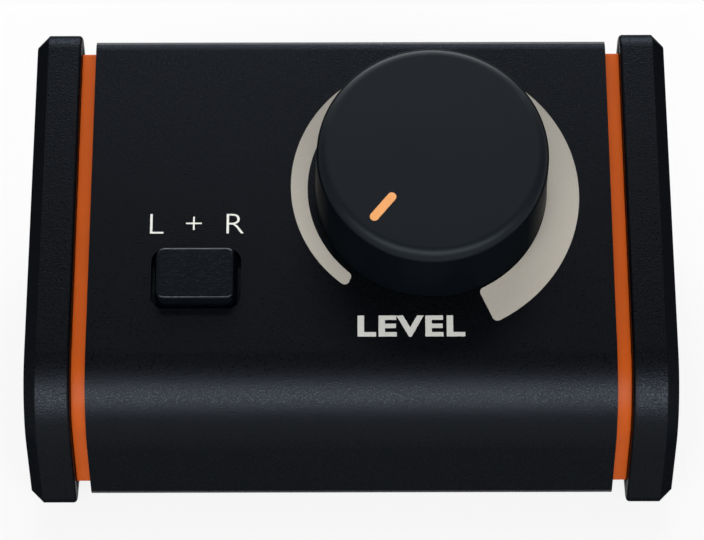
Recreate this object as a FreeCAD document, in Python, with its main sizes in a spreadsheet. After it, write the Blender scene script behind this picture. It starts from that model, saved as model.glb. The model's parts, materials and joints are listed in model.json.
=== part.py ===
"""Desktop monitor controller: a small passive box that sets the level of a pair of loudspeakers.

A bent cover carries a large level knob and one mono button on its sloping panel. A tray closes
the bottom and the rear, two coloured end plates plug the open ends, and two thick cheeks protect
the sides. Inside, a control board hangs under the panel and a jack board stands on the tray.

Frame, in millimetres: X to the right, Y to the rear, Z up. The origin is on the surface that the
feet stand on, in the middle of the case.
"""
import FreeCAD
import Part
import Sketcher
import math
import os
import re

doc = FreeCAD.newDocument("MonitorController")
sheet = doc.addObject("Spreadsheet::Sheet", "Sizes")
working = doc.addObject("Spreadsheet::Sheet", "Working")
aliases = []
pieces = {}

# ---------------------------------------------------------------- sizes

DRIVING = {
    # case, seen from the side; depth and height are to the corners before they are rounded
    "slope": 20, "front_lean": 5, "cover_depth": 70.81, "rear_height": 48.67, "cover_width": 93.65,
    "cover_wall": 2, "bend_radius": 16.35, "edge_radius": 2.5, "lip_drop": 10, "flange_depth": 10,
    "floor_gap": 2.6,
    # cheeks and end plates
    "cheek_lip": 1.25, "cheek_thickness": 8.2, "cheek_chamfer": 2.2, "cheek_round": 0.65,
    "cheek_wall": 2.5, "cheek_corner": 2.8, "band_width": 2.65, "plug_depth": 3.5,
    "plug_gap": 0.2, "plate_wall": 2.5, "boss_radius": 4, "tie_radius": 3.5,
    "screw_low": 9.4, "screw_span": 44, "screw_drop": 13.3, "screw_inset": 9.4,
    # screws, their holes and the pressed-in nuts
    "screw_radius": 1.5, "head_radius": 2.8, "head_height": 2.4, "socket_radius": 1.2,
    "socket_depth": 1.4, "small_socket_radius": 0.9, "small_socket_depth": 1.1,
    "thread_gap": 0.02, "hole_gap": 0.1, "head_gap": 0.2, "counterbore": 3.2, "cut_margin": 1,
    "cheek_screw_length": 14, "tip_gap": 1.5, "panel_screw_length": 6, "nut_body_radius": 2.75,
    "nut_body_height": 2, "lip_screw_inset": 5.25, "lip_screw_drop": 6.9,
    "flange_screw_side": 13, "flange_screw_inset": 6.2,
    # tray and feet
    "tray_wall": 1.5, "tray_bend": 2, "tray_end_gap": 0.3, "tray_top_gap": 1, "side_height": 12,
    "side_setback": 4, "foot_radius": 5.5, "foot_round": 0.9, "foot_side": 9, "foot_gap": 1.8,
    "foot_rear_inset": 10.4,
    # level knob
    "knob_side": 32.495, "knob_from_rear": 31.77, "knob_radius": 20.8, "knob_top_radius": 20.3,
    "knob_height": 17.4, "knob_gap": 0.6, "knob_fillet": 2, "knob_wall": 2.2, "knob_roof": 2.3,
    "hub_radius": 4.5, "hub_boss": 2, "hub_low": 4.6, "hub_high": 14, "rib_width": 1.2,
    "rib_low": 8, "rib_count": 6, "rest_angle": 140.8, "pointer_width": 1.6,
    "pointer_start": 10.66, "pointer_end": 17.06, "pointer_depth": 1, "grub_height": 7.5,
    "grub_end": 6.2,
    # potentiometer
    "shaft_radius": 3, "shaft_top": 13.4, "flat_depth": 0.5, "flat_gap": 0.3,
    "bushing_radius": 3.5, "bushing_height": 4, "bushing_plate": 17, "plate_thickness": 1,
    "washer_thickness": 0.5, "pot_washer_radius": 6, "pot_nut_radius": 5.8, "pot_nut_height": 2,
    "can_radius": 8.3, "can_wall": 0.8, "can_slot": 10, "track_radius": 7.4, "track_hole": 3.6,
    "track_thickness": 0.8, "tongue_width": 7.5, "first_track": 4.2, "second_track": 8.2,
    "wiper_gap": 0.3, "wiper_thickness": 0.6, "wiper_ring": 0.9, "wiper_width": 1.6,
    "wiper_reach": 6.8, "far_legs": 2.2, "near_legs": 0.6, "leg_width": 0.8,
    "leg_thickness": 0.4, "leg_pitch": 2.5, "leg_tail": 1.2,
    # mono button and its switch
    "button_side": 19.225, "button_from_rear": 48.9, "cap_length": 14.6, "cap_width": 10.4,
    "cap_corner": 1.8, "cap_height": 3, "cap_taper": 7.6, "cap_edge": 0.5, "cap_wall": 1.2,
    "cap_roof": 1.5, "cap_inner_corner": 1.2, "window_gap": 0.45, "window_side_gap": 0.7,
    "cap_skirt": 0.8, "cap_flange": 1.1, "button_travel": 2.5, "cap_rest_gap": 0.6, "stem_size": 5,
    "stem_drop": 1, "stem_gap": 0.5, "switch_size": 7, "spring_pack": 1.75,
    "switch_floor": 0.8, "switch_roof": 0.9, "chamber_size": 5.3, "plunger_size": 3,
    "plunger_fit": 0.04, "plunger_foot": 4.2, "plunger_foot_height": 2, "plunger_top": 1.2,
    "slider_length": 3.4, "slider_height": 1.6, "slider_thickness": 0.25, "slider_gap": 0.05,
    "spring_radius": 1.3, "spring_wire": 0.15, "switch_leg": 0.15, "switch_leg_pitch": 2,
    "switch_leg_gap": 0.3,
    # boards
    "board_thickness": 1.6, "control_left_gap": 3.25, "control_right_gap": 6.25,
    "control_rear": 19, "control_front": 56.3, "spacer_radius": 2.5, "spacer_thread": 6,
    "left_spacer_inset": 6, "left_spacer_rear": 28, "right_spacer_inset": 5,
    "right_spacer_rear": 50, "board_side_gap": 2.45, "jack_board_depth": 44.9,
    "jack_board_rise": 3, "board_panel_gap": 1, "standoff_side": 7.45, "standoff_inset": 4,
    "link_radius": 0.35, "link_inset": 5, "link_pitch": 2.54, "resistor_radius": 1.1,
    "resistor_length": 6, "resistor_wire": 0.3, "resistor_pitch": 4.5, "resistor_span": 9,
    "resistor_inset": 10, "resistor_side": 14,
    # jack sockets
    "jack_side_gap": 0.45, "jack_width": 14, "jack_length": 24, "jack_height": 12,
    "jack_bore": 3.2, "jack_nose": 4.75, "nose_length": 3, "socket_back": 1.5,
    "jack_washer_radius": 6.4, "jack_nut_radius": 7.3, "jack_nut_height": 2.2,
    "mini_width": 10, "mini_length": 14, "mini_height": 10.5, "mini_bore": 1.8, "mini_nose": 3,
    "mini_washer_radius": 4.1, "mini_nut_radius": 4.7, "mini_nut_height": 1.8,
    "strip_width": 2.2, "strip_length": 1.6, "strip_thickness": 0.5, "strip_gap": 0.05,
    "strip_first": 4, "strip_pitch": 7.5, "mini_strip_pitch": 4, "slot_gap": 0.2,
}
SPRING_TURNS = 5
RESISTORS = 6
LINKS = 6


def cell(alias, content):
    """Put one size, or a formula that starts with =, in the sheet under its own name."""
    aliases.append(alias)
    row = len(aliases)
    sheet.set("A%d" % row, alias.replace("_", " "))
    sheet.set("B%d" % row, str(content))
    sheet.setAlias("B%d" % row, alias)


def formula(text):
    """Turn a formula in the sheet's names into one that any object can be bound to."""
    return re.sub(r"[a-z][a-z_0-9]*", lambda m: "Sizes." + m[0] if m[0] in aliases else m[0], text)


def number(text):
    """The present value of a formula, in millimetres or degrees."""
    working.set("A1", "=" + formula(text))
    working.recompute()
    return float(working.get("A1"))


def outline_cells(name, offset):
    """Corners of the case seen from the side, moved outward by offset."""
    cell(name + "_low", "=case_low - (%s)" % offset)
    cell(name + "_rear", "=case_rear + (%s)" % offset)
    cell(name + "_front", "=case_front - (%s) * (1 / cos(front_lean) + tan(front_lean))" % offset)
    cell(name + "_top", "=case_top + (%s) * (1 / cos(slope) + tan(slope))" % offset)
    cell(name + "_bend_z", "=(case_top + (%s) / cos(slope) + (case_front - (%s) / cos(front_lean)"
         " - case_low * tan(front_lean) - case_rear) * tan(slope))"
         " / (1 - tan(front_lean) * tan(slope))" % (offset, offset))
    cell(name + "_bend_y", "=case_front - (%s) / cos(front_lean)"
         " + (%s_bend_z - case_low) * tan(front_lean)" % (offset, name))


for alias, size in DRIVING.items():
    cell(alias, size)

cell("case_low", "=floor_gap")
cell("case_top", "=floor_gap + rear_height")
cell("case_rear", "=(cover_depth + cheek_lip * (1 / cos(front_lean) + tan(front_lean) - 1)) / 2")
cell("case_front", "=case_rear - cover_depth")
outline_cells("cover", "0")
outline_cells("inner", "-cover_wall")
outline_cells("plate", "-cover_wall - plug_gap")
outline_cells("plate_hollow", "-cover_wall - plug_gap - plate_wall")
outline_cells("cheek", "cheek_lip")
outline_cells("cheek_hollow", "cheek_lip - cheek_wall")

cell("bend_reach", "=bend_radius * tan((90 - slope - front_lean) / 2)")
cell("bend_centre_y", "=cover_bend_y + bend_reach * cos(slope) + bend_radius * sin(slope)")
cell("bend_centre_z", "=cover_bend_z + bend_reach * sin(slope) - bend_radius * cos(slope)")
cell("plate_inside", "=cover_width / 2 - plug_depth")
cell("cheek_inside", "=cover_width / 2 + band_width")
cell("cheek_outside", "=cheek_inside + cheek_thickness")
cell("low_screw_z", "=case_low + screw_low")
cell("top_screw_y", "=case_rear - screw_inset")
cell("top_screw_z", "=case_top - screw_drop")
cell("screw_tip", "=cheek_outside - counterbore - cheek_screw_length")
cell("tray_half", "=plate_inside - tray_end_gap")
cell("tray_inside", "=tray_half - tray_wall")
cell("base_low", "=case_low + cover_wall")
cell("base_top", "=base_low + tray_wall")
cell("panel_inside", "=inner_rear - tray_wall")
cell("lip_screw_x", "=plate_inside - lip_screw_inset")
cell("lip_screw_z", "=case_top - lip_screw_drop")
cell("flange_screw_x", "=tray_half - flange_screw_side")
cell("flange_screw_y", "=case_front + flange_screw_inset")
cell("foot_x", "=tray_half - foot_side")
cell("foot_front_y", "=case_front + flange_depth + foot_gap + foot_radius")
cell("foot_rear_y", "=case_rear - foot_rear_inset")
cell("knob_x", "=cover_width / 2 - knob_side")
cell("knob_y", "=case_rear - knob_from_rear * cos(slope)")
cell("knob_z", "=case_top - knob_from_rear * sin(slope)")
cell("button_x", "=button_side - cover_width / 2")
cell("button_y", "=case_rear - button_from_rear * cos(slope)")
cell("button_z", "=case_top - button_from_rear * sin(slope)")
cell("switch_height", "=switch_floor + spring_pack + button_travel + plunger_foot_height"
     " + slider_gap + switch_roof")
cell("control_depth", "=stem_drop + button_travel + stem_gap + switch_height")
cell("control_low", "=control_depth + board_thickness")
cell("leg_low", "=control_low + leg_tail")
cell("control_left", "=plate_inside - control_left_gap")
cell("control_right", "=plate_inside - control_right_gap")
cell("left_spacer_x", "=left_spacer_inset - control_left")
cell("right_spacer_x", "=control_right - right_spacer_inset")
cell("board_low", "=base_top + jack_board_rise")
cell("board_top", "=board_low + board_thickness")
cell("jack_axis", "=board_top + jack_height / 2")
cell("board_rear", "=panel_inside - board_panel_gap")
cell("board_front", "=board_rear - jack_board_depth")
cell("board_half", "=tray_inside - board_side_gap")
cell("standoff_x", "=tray_inside - standoff_side")
cell("standoff_y", "=board_front + standoff_inset")
cell("resistor_x", "=standoff_x - resistor_side")
cell("resistor_y", "=board_front + resistor_inset")
cell("link_y", "=board_front + link_inset")
cell("jack_outer_x", "=tray_inside - nut_body_height - jack_side_gap - jack_width / 2")
cell("jack_inner_x", "=(jack_outer_x - jack_width / 2 + mini_width / 2) / 2")
doc.recompute()

# ---------------------------------------------------------------- making solids


def bind(item, **sizes):
    """Bind properties of an object to formulas."""
    for name, text in sizes.items():
        item.setExpression(name, formula(text))
    return item


def at(item, x="0", y="0", z="0", rotation=None):
    """Place an object, with its position bound to the sheet."""
    if rotation is not None:
        item.Placement = FreeCAD.Placement(FreeCAD.Vector(0, 0, 0), rotation)
    for name, text in (("x", x), ("y", y), ("z", z)):
        item.setExpression(".Placement.Base." + name, formula(text))
    return item


def turned(direction):
    """Rotation that takes the Z axis to a direction."""
    return FreeCAD.Rotation(FreeCAD.Vector(0, 0, 1), FreeCAD.Vector(*direction))


def on_panel(item, x, y, z, turn=0):
    """Stand an object on the sloping panel, its own Z axis square to it."""
    tilt = FreeCAD.Rotation(FreeCAD.Vector(1, 0, 0), number("slope"))
    spin = FreeCAD.Rotation(FreeCAD.Vector(0, 0, 1), turn)
    return at(item, x, y, z, tilt.multiply(spin))


def box(length, width, height, x="0", y="0", z="0"):
    """Block whose low corner is at x, y, z."""
    return at(bind(doc.addObject("Part::Box", "Block"), Length=length, Width=width, Height=height),
              x, y, z)


def middle_box(length, width, height, x="0", y="0", z="0"):
    """Block centred on x, y that stands on z."""
    return box(length, width, height, "%s - (%s) / 2" % (x, length), "%s - (%s) / 2" % (y, width),
               z)


def cylinder(radius, height, x="0", y="0", z="0", direction=(0, 0, 1)):
    """Round bar from x, y, z along a direction."""
    bar = bind(doc.addObject("Part::Cylinder", "Bar"), Radius=radius, Height=height)
    return at(bar, x, y, z, turned(direction))


def hexagon(radius, height, x="0", y="0", z="0", direction=(0, 0, 1)):
    """Six-sided bar, radius to its corners."""
    bar = doc.addObject("Part::Prism", "Hexagon")
    bar.Polygon = 6
    return at(bind(bar, Circumradius=radius, Height=height), x, y, z, turned(direction))


def fuse(*solids):
    """One solid made of several."""
    joined = doc.addObject("Part::MultiFuse", "Joined")
    joined.Shapes = list(solids)
    return joined


def cut(base, *tools):
    """A solid less the tools."""
    rest = doc.addObject("Part::Cut", "Cut")
    rest.Base = base
    rest.Tool = tools[0] if len(tools) == 1 else fuse(*tools)
    return rest


def group(solids):
    """Separate solids that make one node."""
    items = doc.addObject("Part::Compound", "Group")
    items.Links = list(solids)
    return items


def piece(name, item):
    """Name a finished sub-part after its node."""
    item.Label = name
    pieces[name] = item
    return item


def body(name):
    """Empty body of a sub-part."""
    return piece(name, doc.addObject("PartDesign::Body", "Body"))


def sketch_on(owner, plane, offset="0"):
    """Sketch parallel to one of the body's own origin planes."""
    sketch = owner.newObject("Sketcher::SketchObject", "Sketch")
    support = [item for item in owner.Origin.OriginFeatures if item.Role == plane][0]
    sketch.AttachmentSupport = [(support, "")]
    sketch.MapMode = "FlatFace"
    sketch.setExpression(".AttachmentOffset.Base.z", formula(offset))
    return sketch


def constrain(sketch, kind, first, point, text):
    """Distance of a point from the sketch's origin, bound to a formula."""
    index = sketch.addConstraint(Sketcher.Constraint(kind, -1, 1, first, point, number(text)))
    sketch.setExpression("Constraints[%d]" % index, formula(text))


def hold_point(sketch, geometry, point, across, up):
    """Fix both coordinates of a point."""
    for kind, text, axis in (("DistanceX", across, -2), ("DistanceY", up, -1)):
        if text == "0":
            sketch.addConstraint(Sketcher.Constraint("PointOnObject", geometry, point, axis))
        else:
            constrain(sketch, kind, geometry, point, text)


def hold_radius(sketch, index, radius):
    """Bind the radius of a circle or an arc."""
    size = sketch.addConstraint(Sketcher.Constraint("Radius", index, number(radius)))
    sketch.setExpression("Constraints[%d]" % size, formula(radius))


def polygon(sketch, corners, arcs=None):
    """Closed outline through corners given as pairs of formulas; arcs replace numbered sides."""
    first = sketch.GeometryCount
    count = len(corners)
    points = [FreeCAD.Vector(number(across), number(up), 0) for across, up in corners]
    for index in range(count):
        straight = Part.LineSegment(points[index], points[(index + 1) % count])
        sketch.addGeometry((arcs or {}).get(index, straight), False)
    for index in range(count):
        following = first + (index + 1) % count
        sketch.addConstraint(Sketcher.Constraint("Coincident", first + index, 2, following, 1))
    for index, (across, up) in enumerate(corners):
        hold_point(sketch, first + index, 1, across, up)


def rectangle(sketch, left, low, right, high):
    """Upright rectangle between two corners."""
    polygon(sketch, [(left, low), (right, low), (right, high), (left, high)])


def circle(sketch, radius, across="0", up="0"):
    """Circle with a bound radius and centre."""
    centre = FreeCAD.Vector(number(across), number(up), 0)
    round_line = Part.Circle(centre, FreeCAD.Vector(0, 0, 1), number(radius))
    index = sketch.addGeometry(round_line, False)
    hold_radius(sketch, index, radius)
    hold_point(sketch, index, 3, across, up)


def pad(owner, sketch, length, taper="0"):
    """Add material from a sketch along its normal."""
    feature = owner.newObject("PartDesign::Pad", "Pad")
    feature.Profile = sketch
    return bind(feature, Length=length, TaperAngle=taper)


def pocket(owner, sketch, length):
    """Cut from a sketch against its normal, and make sure that it cuts."""
    doc.recompute()
    before = owner.Shape.Volume
    feature = owner.newObject("PartDesign::Pocket", "Pocket")
    feature.Profile = sketch
    bind(feature, Length=length)
    doc.recompute()
    if owner.Shape.Volume >= before:
        raise RuntimeError("a pocket of %s cuts nothing" % owner.Label)
    return feature


def dress(owner, kind, test, **size):
    """Fillet or chamfer the edges of the body's last feature that pass a test."""
    doc.recompute()
    tip = owner.Tip
    names = ["Edge%d" % (i + 1) for i, edge in enumerate(tip.Shape.Edges) if test(edge)]
    if not names:
        raise RuntimeError("no edge to dress on %s" % owner.Label)
    feature = owner.newObject("PartDesign::" + kind, kind)
    feature.Base = (tip, names)
    return bind(feature, **size)


def near(first, second):
    """Whether two lengths are the same to a micrometre."""
    return abs(first - second) < 0.001


def cross_edge(y, z):
    """Test for an edge that runs along X at y, z."""
    at_y, at_z = number(y), number(z)
    return lambda edge: all(near(v.Y, at_y) and near(v.Z, at_z) for v in edge.Vertexes)


def on_plane(axis, place):
    """Test for an edge that lies in a plane square to an axis."""
    where = number(place)

    def test(edge):
        limits = edge.BoundBox
        low = (limits.XMin, limits.YMin, limits.ZMin)[axis]
        high = (limits.XMax, limits.YMax, limits.ZMax)[axis]
        return near(low, where) and near(high, where)
    return test


def case_corners(name):
    """The four corners of an outline, seen from the side."""
    return [(name + "_front", name + "_low"), (name + "_rear", name + "_low"),
            (name + "_rear", name + "_top"), (name + "_bend_y", name + "_bend_z")]


SIDE_SCREWS = [("-screw_span / 2", "low_screw_z"), ("screw_span / 2", "low_screw_z"),
               ("top_screw_y", "top_screw_z")]

# ---------------------------------------------------------------- cover


def make_cover():
    """Bent sheet: bottom flange, front wall, large front bend, sloping panel and rear lip."""
    cover = body("top_cover")
    profile = sketch_on(cover, "YZ_Plane", "-cover_width / 2")
    polygon(profile, [
        ("case_front + flange_depth", "cover_low"), ("cover_front", "cover_low"),
        ("cover_bend_y", "cover_bend_z"), ("cover_rear", "cover_top"),
        ("cover_rear", "cover_top - lip_drop"), ("inner_rear", "cover_top - lip_drop"),
        ("inner_rear", "inner_top"), ("inner_bend_y", "inner_bend_z"),
        ("inner_front", "inner_low"), ("case_front + flange_depth", "inner_low")])
    pad(cover, profile, "cover_width")
    for name, growth in (("cover", ""), ("inner", " - cover_wall")):
        dress(cover, "Fillet", cross_edge(name + "_bend_y", name + "_bend_z"),
              Radius="bend_radius" + growth)
        for y, z in ((name + "_rear", name + "_top"), (name + "_front", name + "_low")):
            dress(cover, "Fillet", cross_edge(y, z), Radius="edge_radius" + growth)

    # openings in the panel, cut square to it from a plane that lies on it
    for x, y, z, shaft in (("knob_x", "knob_y", "knob_z", True),
                           ("button_x", "button_y", "button_z", False)):
        opening = sketch_on(cover, "XY_Plane")
        lean = FreeCAD.Rotation(FreeCAD.Vector(1, 0, 0), number("slope"))
        opening.AttachmentOffset = FreeCAD.Placement(FreeCAD.Vector(0, 0, 0), lean)
        for name, text in (("x", x), ("y", y), ("z", z)):
            opening.setExpression(".AttachmentOffset.Base." + name, formula(text))
        if shaft:
            circle(opening, "bushing_radius + hole_gap")
        else:
            half_length = "(cap_length / 2 + window_side_gap)"
            half_width = "(cap_width / 2 + window_gap)"
            window_outline(opening, half_length, half_width, "cap_corner + window_gap")
        pocket(cover, opening, "cover_wall + cut_margin")

    # countersunk screw holes in the bottom flange and in the rear lip
    flange_holes = sketch_on(cover, "XY_Plane", "inner_low")
    lip_holes = sketch_on(cover, "XZ_Plane", "-inner_rear")
    for side in ("-", ""):
        circle(flange_holes, "screw_radius + hole_gap", side + "flange_screw_x", "flange_screw_y")
        circle(lip_holes, "screw_radius + hole_gap", side + "lip_screw_x", "lip_screw_z")
    pocket(cover, flange_holes, "cover_wall")
    pocket(cover, lip_holes, "cover_wall")
    for axis, place in ((2, "cover_low"), (1, "cover_rear")):
        in_plane = on_plane(axis, place)
        dress(cover, "Chamfer", lambda edge: in_plane(edge) and len(edge.Vertexes) == 1,
              Size="head_radius - screw_radius")


def window_outline(sketch, half_length, half_width, corner):
    """Rectangle with rounded corners about the sketch's origin."""
    reach, rise, bend = number(half_length), number(half_width), number(corner)
    for across, up in ((-1, -1), (1, -1), (1, 1), (-1, 1)):
        centre = FreeCAD.Vector(across * (reach - bend), up * (rise - bend), 0)
        turn = {(-1, -1): 180, (1, -1): 270, (1, 1): 0, (-1, 1): 90}[across, up]
        whole = Part.Circle(centre, FreeCAD.Vector(0, 0, 1), bend)
        quarter = Part.ArcOfCircle(whole, math.radians(turn), math.radians(turn + 90))
        sketch.addGeometry(quarter, False)
    ends = [(sketch.getPoint(i, 2), sketch.getPoint((i + 1) % 4, 1)) for i in range(4)]
    for start, end in ends:
        sketch.addGeometry(Part.LineSegment(start, end), False)
    for index in range(4):
        sketch.addConstraint(Sketcher.Constraint("Tangent", index, 2, 4 + index, 1))
        sketch.addConstraint(Sketcher.Constraint("Tangent", 4 + index, 2, (index + 1) % 4, 1))
    for index in (1, 2, 3):
        sketch.addConstraint(Sketcher.Constraint("Equal", 0, index))
    sketch.addConstraint(Sketcher.Constraint("Horizontal", 4))
    sketch.addConstraint(Sketcher.Constraint("Vertical", 5))
    hold_radius(sketch, 0, corner)
    for index, sign in ((0, "-"), (2, "")):
        hold_point(sketch, index, 3, "%s(%s - (%s))" % (sign, half_length, corner),
                   "%s(%s - (%s))" % (sign, half_width, corner))


# ---------------------------------------------------------------- sides


def bent_outline(sketch, name, radius):
    """Outline of the case seen from the side, with its front bend as an arc."""
    corners = case_corners(name)[:3]
    corners.append(("bend_centre_y - (%s) * sin(slope)" % radius,
                    "bend_centre_z + (%s) * cos(slope)" % radius))
    corners.append(("bend_centre_y - (%s) * cos(front_lean)" % radius,
                    "bend_centre_z + (%s) * sin(front_lean)" % radius))
    centre = FreeCAD.Vector(number("bend_centre_y"), number("bend_centre_z"), 0)
    whole = Part.Circle(centre, FreeCAD.Vector(0, 0, 1), number(radius))
    start, end = (math.radians(number(turn)) for turn in ("90 + slope", "180 - front_lean"))
    bend = 3
    polygon(sketch, corners, {bend: Part.ArcOfCircle(whole, start, end)})
    hold_radius(sketch, bend, radius)


def round_side(owner, name, bend, edge, corner):
    """Round the four corners of a side outline."""
    dress(owner, "Fillet", cross_edge(name + "_bend_y", name + "_bend_z"), Radius=bend)
    dress(owner, "Fillet", cross_edge(name + "_rear", name + "_top"), Radius=edge)
    for end in ("_front", "_rear"):
        dress(owner, "Fillet", cross_edge(name + end, name + "_low"), Radius=corner)


def make_end_plate(name, side):
    """Coloured plate that plugs the cover's open end and shows as a band beside it."""
    plate = body(name)
    low = "plate_inside" if side > 0 else "-cheek_inside"
    outline = sketch_on(plate, "YZ_Plane", low)
    polygon(outline, case_corners("plate"))
    pad(plate, outline, "plug_depth + band_width")
    round_side(plate, "plate", "bend_radius - cover_wall - plug_gap",
               "edge_radius - cover_wall - plug_gap", "edge_radius - cover_wall - plug_gap")
    # hollow from the inner face, with a boss left round each screw
    mouth = "plate_inside + plug_depth" if side > 0 else "-plate_inside"
    hollow = sketch_on(plate, "YZ_Plane", mouth)
    bent_outline(hollow, "plate_hollow", "bend_radius - cover_wall - plug_gap - plate_wall")
    for y, z in SIDE_SCREWS:
        circle(hollow, "boss_radius", y, z)
    pocket(plate, hollow, "plug_depth")
    holes = sketch_on(plate, "YZ_Plane", "cheek_inside" if side > 0 else "-plate_inside")
    for y, z in SIDE_SCREWS:
        circle(holes, "screw_radius + hole_gap", y, z)
    pocket(plate, holes, "plug_depth + band_width")


def make_cheek(name, side):
    """Thick side cheek, chamfered outside and hollow inside."""
    cheek = body(name)
    low = "cheek_inside" if side > 0 else "-cheek_outside"
    outline = sketch_on(cheek, "YZ_Plane", low)
    polygon(outline, case_corners("cheek"))
    pad(cheek, outline, "cheek_thickness")
    round_side(cheek, "cheek", "bend_radius + cheek_lip", "edge_radius + cheek_lip",
               "cheek_corner")
    sign = "" if side > 0 else "-"
    dress(cheek, "Chamfer", on_plane(0, sign + "cheek_outside"), Size="cheek_chamfer")
    dress(cheek, "Fillet", on_plane(0, sign + "cheek_inside"), Radius="cheek_round")
    hollow_depth = "cheek_thickness - cheek_wall"
    mouth = "cheek_inside + " + hollow_depth if side > 0 else "-cheek_inside"
    hollow = sketch_on(cheek, "YZ_Plane", mouth)
    bent_outline(hollow, "cheek_hollow", "bend_radius + cheek_lip - cheek_wall")
    for y, z in SIDE_SCREWS:
        circle(hollow, "boss_radius", y, z)
    pocket(cheek, hollow, hollow_depth)
    holes = sketch_on(cheek, "YZ_Plane", "cheek_outside" if side > 0 else "-cheek_inside")
    seats = sketch_on(cheek, "YZ_Plane",
                      "cheek_outside" if side > 0 else "counterbore - cheek_outside")
    for y, z in SIDE_SCREWS:
        circle(holes, "screw_radius + hole_gap", y, z)
        circle(seats, "head_radius + head_gap", y, z)
    pocket(cheek, holes, "cheek_thickness")
    pocket(cheek, seats, "counterbore")


def cap_screw(x, y, z, direction, length):
    """Screw with a round head and a hexagon socket; x, y, z is under its head."""
    back = tuple(-part for part in direction)
    head = cylinder("head_radius", "head_height", x, y, z, back)
    shank = cylinder("screw_radius", length, x, y, z, direction)
    tip = ["%s + head_height * (%d)" % (text, part) for text, part in zip((x, y, z), back)]
    socket = hexagon("socket_radius", "socket_depth", *tip, direction)
    return cut(fuse(head, shank), socket)


def flat_screw(x, y, z, direction, length):
    """Countersunk screw; x, y, z is the middle of its flat head."""
    cone = bind(doc.addObject("Part::Cone", "Head"), Radius1="head_radius", Radius2="screw_radius",
                Height="head_radius - screw_radius")
    at(cone, x, y, z, turned(direction))
    shank = cylinder("screw_radius", length, x, y, z, direction)
    socket = hexagon("small_socket_radius", "small_socket_depth", x, y, z, direction)
    return cut(fuse(cone, shank), socket)


def make_side_fasteners():
    """Screws through both cheeks, the tie bar between the end plates and the pressed-in nuts."""
    screws = []
    nuts = []
    for side, sign in ((1, ""), (-1, "-")):
        for y, z in SIDE_SCREWS:
            screws.append(cap_screw(sign + "(cheek_outside - counterbore)", y, z, (-side, 0, 0),
                                    "cheek_screw_length"))
        for y, z in SIDE_SCREWS[:2]:
            place = sign + "tray_inside"
            shell = cylinder("nut_body_radius", "nut_body_height", place, y, z, (-side, 0, 0))
            thread = cylinder("screw_radius + thread_gap", "nut_body_height", place, y, z,
                              (-side, 0, 0))
            nuts.append(cut(shell, thread))
        shell = cylinder("nut_body_radius", "nut_body_height", sign + "flange_screw_x",
                         "flange_screw_y", "base_top")
        thread = cylinder("screw_radius + thread_gap", "nut_body_height", sign + "flange_screw_x",
                          "flange_screw_y", "base_top")
        nuts.append(cut(shell, thread))
    piece("cheek_screws", group(screws))
    piece("press_nuts", group(nuts))

    bar = cylinder("tie_radius", "plate_inside * 2", "-plate_inside", "top_screw_y",
                   "top_screw_z", (1, 0, 0))
    ends = [cylinder("screw_radius + thread_gap", "plate_inside - screw_tip + tip_gap",
                     sign + "plate_inside", "top_screw_y", "top_screw_z", (-side, 0, 0))
            for side, sign in ((1, ""), (-1, "-"))]
    piece("tie_bar", cut(bar, *ends))

    piece("flange_screws", group(
        flat_screw(sign + "flange_screw_x", "flange_screw_y", "cover_low", (0, 0, 1),
                   "panel_screw_length") for sign in ("", "-")))
    piece("lip_screws", group(
        flat_screw(sign + "lip_screw_x", "cover_rear", "lip_screw_z", (0, -1, 0),
                   "panel_screw_length") for sign in ("", "-")))


# ---------------------------------------------------------------- tray

JACKS = {"input_jack_left": "jack_outer_x", "input_jack_right": "jack_inner_x",
         "output_jack_left": "-jack_inner_x", "output_jack_right": "-jack_outer_x"}


def make_tray():
    """Base and rear panel bent from one sheet, with a low flange at each side."""
    tray = body("chassis_tray")
    profile = sketch_on(tray, "YZ_Plane", "-tray_half")
    top = "inner_top - tray_top_gap"
    polygon(profile, [
        ("inner_front + tray_top_gap", "base_low"), ("inner_rear", "base_low"),
        ("inner_rear", top), ("panel_inside", top), ("panel_inside", "base_top"),
        ("inner_front + tray_top_gap", "base_top")])
    pad(tray, profile, "tray_half * 2")
    dress(tray, "Fillet", cross_edge("inner_rear", "base_low"), Radius="tray_bend")
    dress(tray, "Fillet", cross_edge("panel_inside", "base_top"), Radius="tray_bend - tray_wall")
    for low in ("-tray_half", "tray_inside"):
        flange = sketch_on(tray, "YZ_Plane", low)
        rectangle(flange, "inner_front + side_setback", "base_top", "panel_inside - tray_bend",
                  "base_top + side_height")
        pad(tray, flange, "tray_wall")
        doc.recompute()

    sides = sketch_on(tray, "YZ_Plane", "tray_half")
    for y, z in SIDE_SCREWS[:2]:
        circle(sides, "screw_radius + hole_gap", y, z)
    pocket(tray, sides, "tray_half * 2")

    base = sketch_on(tray, "XY_Plane", "base_top")
    for sign in ("-", ""):
        circle(base, "screw_radius + hole_gap", sign + "flange_screw_x", "flange_screw_y")
        circle(base, "screw_radius + hole_gap", sign + "standoff_x", "standoff_y")
    pocket(tray, base, "tray_wall")

    rear = sketch_on(tray, "XZ_Plane", "-panel_inside")
    for x in JACKS.values():
        circle(rear, "jack_nose + hole_gap", x, "jack_axis")
    circle(rear, "mini_nose + hole_gap", "0", "jack_axis")
    for sign in ("-", ""):
        circle(rear, "screw_radius + thread_gap", sign + "lip_screw_x", "lip_screw_z")
    pocket(tray, rear, "tray_wall")


def make_feet():
    """Four rubber feet stuck under the base, each with a rounded lower edge."""
    feet = []
    for sign in ("-", ""):
        for y in ("foot_front_y", "foot_rear_y"):
            foot = cylinder("foot_radius", "base_low", sign + "foot_x", y)
            doc.recompute()
            soft = doc.addObject("Part::Fillet", "Foot")
            soft.Base = foot
            lower = [i + 1 for i, edge in enumerate(foot.Shape.Edges)
                     if near(edge.BoundBox.ZMax, 0)]
            rounding = number("foot_round")
            soft.Edges = [(index, rounding, rounding) for index in lower]
            feet.append(soft)
    piece("rubber_feet", group(feet))


# ---------------------------------------------------------------- knob and potentiometer


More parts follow.
